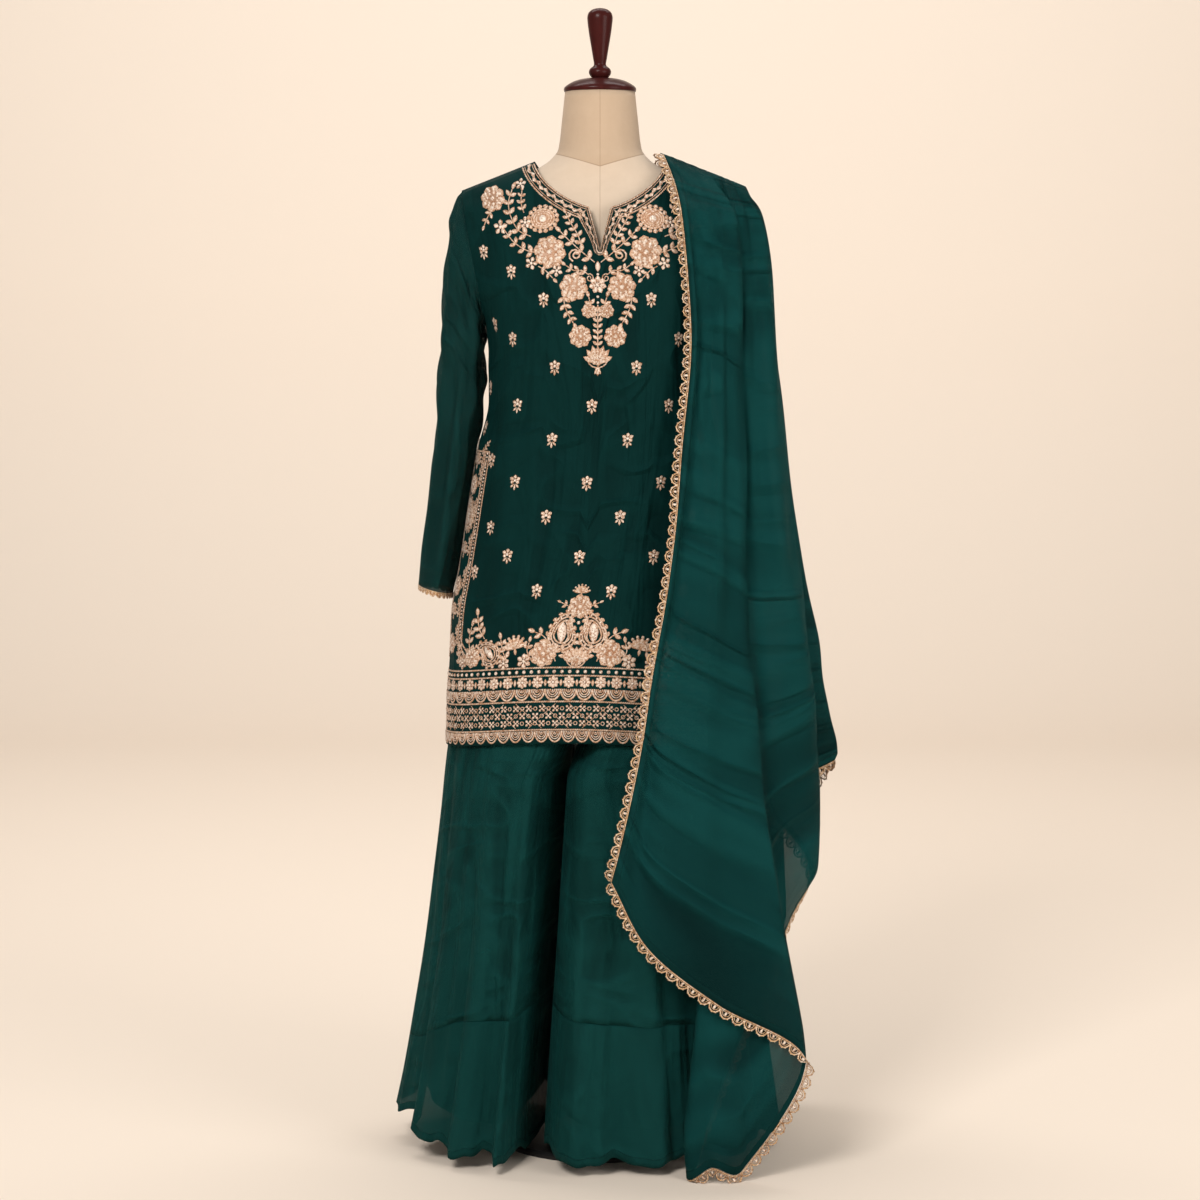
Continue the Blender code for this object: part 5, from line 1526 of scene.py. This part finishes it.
def hem_work(flat):
    """The border above the hem. v is the height above the hem's edge, and u is 0 on the centre line."""
    work = Needlework()
    left, right = float(flat.side(0.60, -1)) + 0.002, float(flat.side(0.60, 1)) - 0.002
    wide = right - left

    def row(pitch):
        count = max(1, round(wide / pitch))
        step = wide / count
        return [left + (k + 0.5) * step for k in range(count)], step

    places, step = row(0.0184)
    for u in places:
        work.at(u, 0.0175).scallop(step, 0.0145)
    for v in (0.0192, 0.0575):
        rope(work, line(left, v, right, v), 0.0026)
    places, step = row(0.0185)
    for k, u in enumerate(places):
        for v, shift in ((0.0282, 0.0), (0.0382, 0.5), (0.0482, 0.0)):
            work.at(u + shift * step, v, 45).flower(0.0056, 4, 0.35)
            work.at(u + (0.5 - shift) * step, v).arc(0, 0, 0.0024, 0, 360, 0.0013, steps=8)
            work.at(u + (0.25 + shift * 0.5) * step, v).bead(0, 0, 0.0009, pearl=0.5, sides=6)
        lean = 1 if k % 2 else -1
        work.at(u, 0.0382).cord(line(-lean * step, -0.0165, lean * step, 0.0165, 9), 0.0008, 0.0007)
    places, step = row(0.0215)
    for u in places:
        work.at(u, 0.0745).scallop(step, 0.0145)
        work.at(u, 0.0838).flower(0.0084, 8, 0.5)
        work.at(u + step / 2, 0.0780).petal(0, 0, 0.0100, 0.0042, 0, 0.0011)
    for v in (0.0925, 0.1035):
        rope(work, line(left, v, right, v), 0.0025)
    places, step = row(0.0105)
    for u in places:
        work.at(u, 0.0980).bead(0, 0, 0.0026, 0.0018, pearl=0.85, sides=8)

    for way in (-1, 1):

        def put(u, v, angle=0.0, way=way):
            return work.at(way * u, v, angle, mirror=way)

        for (u, v), *rest, leaf, pairs in HEM_VINES:
            put(u, v).vine([(0.0, 0.0), *((a - u, b - v) for a, b in rest)], leaf, pairs)
        work.at(way * 0.0212, 0.1460, 3, mirror=-way).paisley(0.052, 0.037)
        put(0.0455, 0.1225).rose(0.0185)
        put(0.0720, 0.1130).flower(0.0105, 6)
        put(0.0860, 0.1300, -10).fan(0.0185)
        put(0.1020, 0.1110).flower(0.0090, 6)
        put(0.1250, 0.1240, -38).paisley(0.042, 0.031, 13)
        put(0.1570, 0.1220).rose(0.0150)
        put(0.1770, 0.1150).flower(0.0095, 6)
        put(0.0110, 0.1740, -150).curl(0.011)
        put(0.0165, 0.1870, -64).sprig(0.010, 1, 0.008)
    work.at(0, 0.1200).lotus(0.030, 0.024)
    work.at(0, 0.1135).rose(0.0090, 2)
    work.at(0, 0.1860).rose(0.0165)
    work.at(0, 0.2040).fan(0.0120)
    for height in (0.1370, 0.1640):
        work.at(0, height).bead(0, 0, 0.0026, pearl=0.8, sides=6)
    return work


def slit_work():
    """The band up one slit. u is the height, and v is how far in from the panel's edge."""
    work = Needlework()
    low, top = 0.103, SLIT_TOP - KURTA_HEM_FRONT
    for v in (0.0025, 0.0095):
        rope(work, line(low, v, top, v), 0.0032)
    for v, bend in ((SLIT_BAND - 0.010, 0.022), (SLIT_BAND, 0.022)):
        turn = np.radians(np.linspace(0, 90, 9))
        corner = np.column_stack([low + bend * (1 - np.cos(turn)), v + bend * 1.4 * (1 - np.sin(turn))])
        rope(work, np.concatenate([corner[::-1], line(low + bend + 0.004, v, top, v)]), 0.0030)
    for k in range(60):
        u = low + (k + 0.5) * (top - low) / 60
        work.at(u, SLIT_BAND - 0.005).bead(0, 0, 0.0018, pearl=0.7, sides=6)
    rope(work, line(top, 0.0025, top, SLIT_BAND), 0.0030)
    middle = SLIT_BAND * 0.50
    rose, fan, paisley = (work.rose, (0.0150, 2)), (work.fan, (0.0160,)), (work.paisley, (0.046, 0.036))
    heights = (0.125, 0.165, 0.205, 0.250, 0.300, 0.345, 0.373)
    for u, (motif, size) in zip(heights, (rose, fan, rose, fan, paisley, rose, fan)):
        work.at(u, middle, -90)
        motif(*size)
        for way in (-1, 1):
            work.at(u + 0.014, middle + way * 0.014, -90 + way * 40).sprig(0.020, 3, 0.0080)
            work.at(u - 0.002, middle - way * 0.018, -90 - way * 12).sprig(0.017, 3, 0.0070)
    return work


def embroider(colours, sizes):
    """Makes the needlework on the kurta, and gives the pieces on its front and on its back."""
    gold = needlework_material("gold needlework", colours.thread, colours.outline, colours.pearl)
    flat = Pattern()
    on_front = [
        yoke_work(flat).build("yoke_embroidery", flat.lay, gold),
        buti_work(flat, sizes.buti_scale).build("buti_sprays", flat.lay, gold),
        hem_work(flat).build("hem_border", lambda u, v, lift: flat.lay(u, flat.hem(u) + v, lift), gold),
    ]
    for way, name in SIDES:

        def lay(u, v, lift, way=way):
            z = KURTA_HEM_FRONT + u
            return flat.lay(flat.side(z, way) - way * v, z, lift)

        on_front.append(slit_work().build(f"slit_border_{name}", lay, gold))
    on_back = []
    for pieces, name, neck in (
        (on_front, "front", NeckLine(front_neckline, front_base, -1)),
        (on_back, "back", NeckLine(back_neckline, back_base, 1)),
    ):
        nodes = (f"neck_border_{name}",)
        pieces.append(neck_work(neck.length).build(f"neck_border_{name}_work", neck.lay, gold, nodes))
    return on_front, on_back


def cuff_work(length, pitch):
    """The cuffs' narrow lace: a corded heading with small looped scallops."""
    work = Needlework()
    count = max(8, round(length / pitch))
    pitch = length / count
    work.at(0, -0.0004).cord(line(0, 0, length, 0, 60), 0.0026, 0.0010)
    for k in range(count):
        work.at((k + 0.5) * pitch, -0.0012)
        work.arc(0, 0, pitch * 0.44, 180, 360, 0.0022, 0.0012, squash=1.25)
        work.bead(0, -pitch * 0.16, pitch * 0.40, 0.0007, 0.0, 1.05, rim_mark=0.9, ground=0.9)
        work.bead(0, -pitch * 0.20, pitch * 0.12, 0.0013, 0.3, 1.5, sides=6)
        work.at(k * pitch, -0.0024).bead(0, 0, 0.0009, 0.0011, pearl=0.4, sides=6)
    return work


class CuffLine:
    """The cuff's edge, round once: u metres along it, v metres up from it, and lift off the cloth."""

    def __init__(self, ring):
        self.ring, self.places = ring, distance_along(ring)
        self.length = self.places[-1]
        self.away = unit((ring - ring[:-1].mean(axis=0)) * (1, 1, 0))

    def lay(self, u, v, lift):
        u = np.mod(u, self.length)
        ring, away = (read_along(self.places, rows, u) for rows in (self.ring, self.away))
        points = ring + away * (CLOTH_WALL / 2 + lift)[..., None]
        points[..., 2] += v - SEAM
        return points


# --- operators ---
def colour_property(name, description, default):
    return bpy.props.FloatVectorProperty(
        name=name, description=description, default=default, subtype="COLOR", size=3, min=0.0, max=1.0
    )


class SuitColours(bpy.types.PropertyGroup):
    """Colours of the suit, the form and the backdrop."""

    kurta: colour_property("Kurta", "Colour of the tunic's georgette", (0.0011, 0.0180, 0.0168))
    sleeves: colour_property("Sleeves", "Colour of the unlined sleeves", (0.0034, 0.0290, 0.0268))
    trousers: colour_property("Trousers", "Colour of the trousers and flounces", (0.0036, 0.0370, 0.0340))
    lining: colour_property("Lining", "Colour of the trousers' lining", (0.0022, 0.0170, 0.0150))
    dupatta: colour_property("Dupatta", "Colour of the stole", (0.0034, 0.0430, 0.0415))
    thread: colour_property("Gold thread", "Colour of the raised gold stitching", (0.70, 0.47, 0.32))
    outline: colour_property("Outline thread", "Darker thread round each motif", (0.36, 0.165, 0.075))
    pearl: colour_property("Beads", "Colour of the pearl beads", (0.95, 0.86, 0.76))
    lace: colour_property("Lace", "Colour of the lace along the edges", (0.74, 0.49, 0.25))


def size_property(name, description, default, least, most, unit="NONE"):
    return bpy.props.FloatProperty(
        name=name, description=description, default=default, min=least, max=most, unit=unit
    )


class SuitSizes(bpy.types.PropertyGroup):
    """Sizes of the finish: lengths, and sizes given as a part of the usual one."""

    crease: size_property("Crease depth", "Depth of the creases, as a part of the usual depth", 1.0, 0.0, 1.3)
    lace_pitch: size_property("Lace pitch", "Width of the dupatta's scallops", 0.0175, 0.01, 0.03, "LENGTH")
    cuff_pitch: size_property("Cuff pitch", "Width of the cuffs' scallops", 0.0105, 0.006, 0.02, "LENGTH")
    buti_scale: size_property("Buti size", "Size of the sprays, as a part of the usual size", 1.25, 0.5, 1.5)


def looks(context):
    return context.scene.suit_colours, context.scene.suit_sizes


class SUIT_OT_kurta(bpy.types.Operator):
    """Makes the kurta's two panels with the neck borders, yoke, butis and hem border on them"""

    bl_idname = "suit.kurta"
    bl_label = "Kurta"

    def execute(self, context):
        colours, sizes = looks(context)
        cloth = georgette("kurta georgette", colours.kurta, 1.0)
        panels = []
        for name, base, neckline, hem, rise, table, way in (
            ("front", front_base, front_neckline, KURTA_HEM_FRONT, KURTA_HEM_RISE, FRONT_CREASES, -1),
            ("back", back_base, back_neckline, KURTA_BACK_HEM, 0, BACK_CREASES, 1),
        ):
            points = panel_points(base, neckline, hem, rise, table, way, sizes.crease)
            panels.append(cloth_piece(f"kurta_{name}_cloth", points, on_axis, cloth, (f"kurta_{name}",)))
        for panel, work in zip(panels, embroider(colours, sizes)):
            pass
        return {"FINISHED"}


class SUIT_OT_sleeves(bpy.types.Operator):
    """Makes the two sheer sleeves and the lace round their cuffs"""

    bl_idname = "suit.sleeves"
    bl_label = "Sleeves"

    def execute(self, context):
        colours, sizes = looks(context)
        cloth = georgette("sleeve georgette", colours.sleeves, 0.80)
        gold = lace_material(colours)
        for side, name in SIDES:
            turn, down = np.meshgrid(np.linspace(0, 1, 81), np.linspace(0, 1, 91))
            points = sleeve_points(side, turn, down)
            normals = surface_normals(points)
            middle = points.mean(axis=1, keepdims=True)
            normals = normals * np.sign(((points - middle) * normals).sum())
            points = points + normals * (sleeve_creases(side, turn, down) * sizes.crease)[..., None]
            points[:, -1] = points[:, 0]
            points[..., 0] -= side * SLEEVE_TUCK * (1 - smooth_step(down / 0.04))
            sleeve = cloth_piece(
                f"sleeve_{name}", points, lambda z, side=side: (side * 0.2, 0, z), cloth,
                (f"kurta_sleeve_{name}",), closed=True,
            )
            cuff = CuffLine(points[-1])
            work = cuff_work(cuff.length, sizes.cuff_pitch)
            lace = work.build(f"cuff_lace_{name}_work", cuff.lay, gold, (f"cuff_lace_{name}",))
        return {"FINISHED"}


class SUIT_OT_trousers(bpy.types.Operator):
    """Makes the trousers' legs, sheer flounces, lining and waistband"""

    bl_idname = "suit.trousers"
    bl_label = "Trousers"

    def execute(self, context):
        colours, _ = looks(context)
        # valley=0.7: deeper painted shade in the trousers' crease valleys
        cloth = georgette("trouser georgette", colours.trousers, 0.90, valley=0.7)
        sheer = georgette("flounce georgette", colours.trousers, 0.86, edged=True)
        inside = georgette("lining", colours.lining, 1.0, sheen=0.02)
        for side, name in SIDES:
            hem, seam = LEG_EDGES[side]

            def waist(turn):
                return WAIST + 0 * turn

            def make(part, points, finish, slot="georgette", side=side, name=name, **shape):
                return cloth_piece(
                    f"trouser_{part}_{name}_cloth", points, lambda z: (side * 0.11, 0, z), finish,
                    (f"trouser_{part}_{name}",), slot, **shape,
                )

            upper, _ = leg_grid(side, 141, 79, lambda t: round_leg(seam, t) + SEAM, waist)
            leg = make("leg", upper, cloth)
            frill, above = leg_grid(
                side, 181, 31, lambda t: flounce_hem(side, hem, t), lambda t: round_leg(seam, t), margin=0
            )
            frill[:, -1] = frill[:, 0]
            flounce = make("flounce", frill, sheer, closed=True, attributes={"edge distance": above})
            inner, _ = leg_grid(
                side, 61, 37, lambda t: round_leg(hem, t) + LINING_SHORTER, waist, lining_inset
            )
            lining = make("lining", inner, inside, "lining")
        band = cloth_piece(
            "waistband", waistband_points(), on_axis, cloth, ("trouser_waistband",), wall=0.0015, closed=True
        )
        return {"FINISHED"}


class SUIT_OT_dupatta(bpy.types.Operator):
    """Makes the dupatta as one sheet over the wearer's left shoulder, with lace along its edges"""

    bl_idname = "suit.dupatta"
    bl_label = "Dupatta"

    def execute(self, context):
        colours, sizes = looks(context)
        # valley=1.0: the deepest painted shade in the dupatta's crease valleys
        cloth = georgette(
            "dupatta georgette", colours.dupatta, 0.80, sheen=0.04, edged=True, wrinkle=0.016, valley=1.0
        )
        gold = lace_material(colours)
        points = dupatta_points(sizes.crease)
        sheet = cloth_piece(
            "dupatta", points, lambda z: (DUPATTA_MIDDLE[0], 0, z), cloth, ("dupatta_front", "dupatta_back"),
            closed=True, attributes={"edge distance": edge_distance(points)},
        )
        corner = round(12 / 20 * (DUPATTA_COLUMNS - 1))
        top = DUPATTA_STEPS
        edges = {
            "front_end": (points[0, : corner + 1], points[4, : corner + 1]),
            "front_side": (points[0, corner:], points[4, corner:]),
            "front_edge": (points[: top - 8, 0], points[: top - 8, 2]),
            "back_edge": (points[top + 8 :, 0], points[top + 8 :, 2]),
            "back_end": (points[-1], points[-5]),
        }
        for name, (edge, inside) in edges.items():
            side = EdgeLine(edge, inside)
            work = lace_work(side.length, sizes.lace_pitch)
            work.build(f"lace_{name}", side.lay, gold, (f"dupatta_lace_{name}",))
        return {"FINISHED"}


class SUIT_OT_form(bpy.types.Operator):
    """Makes the form's linen torso, its wooden cap and finial, and finishes the stand"""

    bl_idname = "suit.form"
    bl_label = "Dress form"

    def execute(self, context):
        torso = cloth_grid("torso", torso_points(), on_axis, closed=True)
        mode("EDIT")
        bpy.ops.mesh.fill_holes(sides=0)
        bpy.ops.mesh.normals_make_consistent(inside=False)
        mode("OBJECT")
        finish_piece(torso, linen_material(), ("form_torso",))
        wood, steel = mahogany_material(), steel_material()
        for name, profile, steps, cad in (
            ("cap", CAP_PROFILE, 25, "neck_cap"), ("finial", FINIAL_PROFILE, 57, "neck_finial"),
        ):
            finish_piece(turned(name, profile, steps), wood, (cad,))
        for name in ("stand_pole", "stand_base"):
            dress(bpy.data.objects[name], steel)
        return {"FINISHED"}


CAMERA_PLACE = (0.0, -4.3, 1.17)
CAMERA_AIM = (0.0, 0.0, 0.765)
CAMERA_LENS = (92.55, 36)
FLOOR_SIZE = (16, 9.2)
FLOOR_SHIFT = -0.6
COVE_RADIUS = 1.2
WALL_HEIGHT = 5
# the backdrop paper: painted shade on the floor and low in the cove, and its lit tone up the wall
STAGE_SHADED = (0.835, 0.725, 0.620)
STAGE_HIGH = (0.93, 0.822, 0.715)
WORLD_LIGHT = 0.27
WORLD_COLOUR = (1.0, 0.97, 0.93)
LIGHTS = (
    ("key", (-1.3, -3.1, 2.9), (0.0, 0.0, 0.85), (1.3, 1.3), 108.0, (1.0, 0.985, 0.96)),
    ("fill", (2.6, -2.4, 1.6), (0.0, 0.0, 0.8), (2.0, 2.4), 56.0, (1.0, 0.98, 0.95)),
    ("backdrop light", (0.0, 1.4, 4.2), (0.0, 3.4, 0.9), (5.0, 1.5), 138.0, (1.0, 0.985, 0.96)),
)


def turn_to(obj, aim):
    """Turns a light or a camera so that it looks at a place."""
    obj.rotation_euler = (Vector(aim) - obj.location).to_track_quat("-Z", "Y").to_euler()


class SUIT_OT_stage(bpy.types.Operator):
    """Sets the cream backdrop, the lights and the camera"""

    bl_idname = "suit.stage"
    bl_label = "Stage"

    def execute(self, context):
        deselect()
        bpy.ops.mesh.primitive_plane_add(size=1)
        floor = bpy.context.object
        floor.name = "backdrop"
        mode("EDIT")
        bpy.ops.transform.resize(value=(*FLOOR_SIZE, 1), center_override=(0, 0, 0))
        bpy.ops.transform.translate(value=(0, FLOOR_SHIFT, 0))
        bpy.ops.mesh.select_all(action="DESELECT")
        mode("OBJECT")
        for vertex in floor.data.vertices:
            vertex.select = vertex.co.y > 1
        for edge in floor.data.edges:
            edge.select = all(floor.data.vertices[i].select for i in edge.vertices)
        bpy.ops.object.mode_set(mode="EDIT")
        for k in range(10):
            low, high = math.radians(9 * k), math.radians(9 * (k + 1))
            out = COVE_RADIUS * (math.sin(high) - math.sin(low))
            rise = COVE_RADIUS * (math.cos(low) - math.cos(high))
            bpy.ops.mesh.extrude_region_move(TRANSFORM_OT_translate={"value": (0, out, rise)})
        bpy.ops.mesh.extrude_region_move(TRANSFORM_OT_translate={"value": (0, 0, WALL_HEIGHT)})
        mode("OBJECT")
        floor.data.materials.append(backdrop_material())
        bpy.ops.object.shade_smooth()
        deselect()
        for name, place, aim, size, power, colour in LIGHTS:
            bpy.ops.object.light_add(type="AREA", location=place)
            light = bpy.context.object
            light.name = name
            light.data.shape = "RECTANGLE"
            light.data.size, light.data.size_y = size
            light.data.energy, light.data.color = power, colour
            turn_to(light, aim)
        bpy.ops.object.camera_add(location=CAMERA_PLACE)
        camera = bpy.context.object
        camera.name = "camera"
        turn_to(camera, CAMERA_AIM)
        camera.data.lens, camera.data.sensor_width = CAMERA_LENS
        camera.data.dof.use_dof = False
        context.scene.camera = camera
        deselect()
        world = context.scene.world or bpy.data.worlds.new("world")
        context.scene.world = world
        world.use_nodes = True
        background = world.node_tree.nodes["Background"]
        background.inputs["Color"].default_value = (*WORLD_COLOUR, 1)
        background.inputs["Strength"].default_value = WORLD_LIGHT
        context.scene.view_settings.view_transform = "Standard"
        context.scene.view_settings.look = "None"
        return {"FINISHED"}


class SUIT_PT_panel(bpy.types.Panel):
    """Lists the suit's pieces, sizes and colours"""

    bl_idname = "SUIT_PT_panel"
    bl_label = "Salwar Kameez Suit"
    bl_space_type = "VIEW_3D"
    bl_region_type = "UI"
    bl_category = "Suit"

    def draw(self, context):
        for made in OPERATORS:
            self.layout.operator(made.bl_idname)
        for group_of_values in looks(context):
            box = self.layout.box()
            for key in group_of_values.__annotations__:
                box.prop(group_of_values, key)


OPERATORS = (SUIT_OT_kurta, SUIT_OT_sleeves, SUIT_OT_trousers, SUIT_OT_dupatta, SUIT_OT_form, SUIT_OT_stage)
CLASSES = (SuitColours, SuitSizes, *OPERATORS, SUIT_PT_panel)


def register():
    for made in CLASSES:
        bpy.utils.register_class(made)
    bpy.types.Scene.suit_colours = bpy.props.PointerProperty(type=SuitColours)
    bpy.types.Scene.suit_sizes = bpy.props.PointerProperty(type=SuitSizes)


def unregister():
    del bpy.types.Scene.suit_sizes
    del bpy.types.Scene.suit_colours
    for made in reversed(CLASSES):
        bpy.utils.unregister_class(made)


def main():
    register()
    bpy.ops.suit.kurta()
    bpy.ops.suit.sleeves()
    bpy.ops.suit.trousers()
    bpy.ops.suit.dupatta()
    bpy.ops.suit.form()
    bpy.ops.suit.stage()


if __name__ == "__main__":
    main()
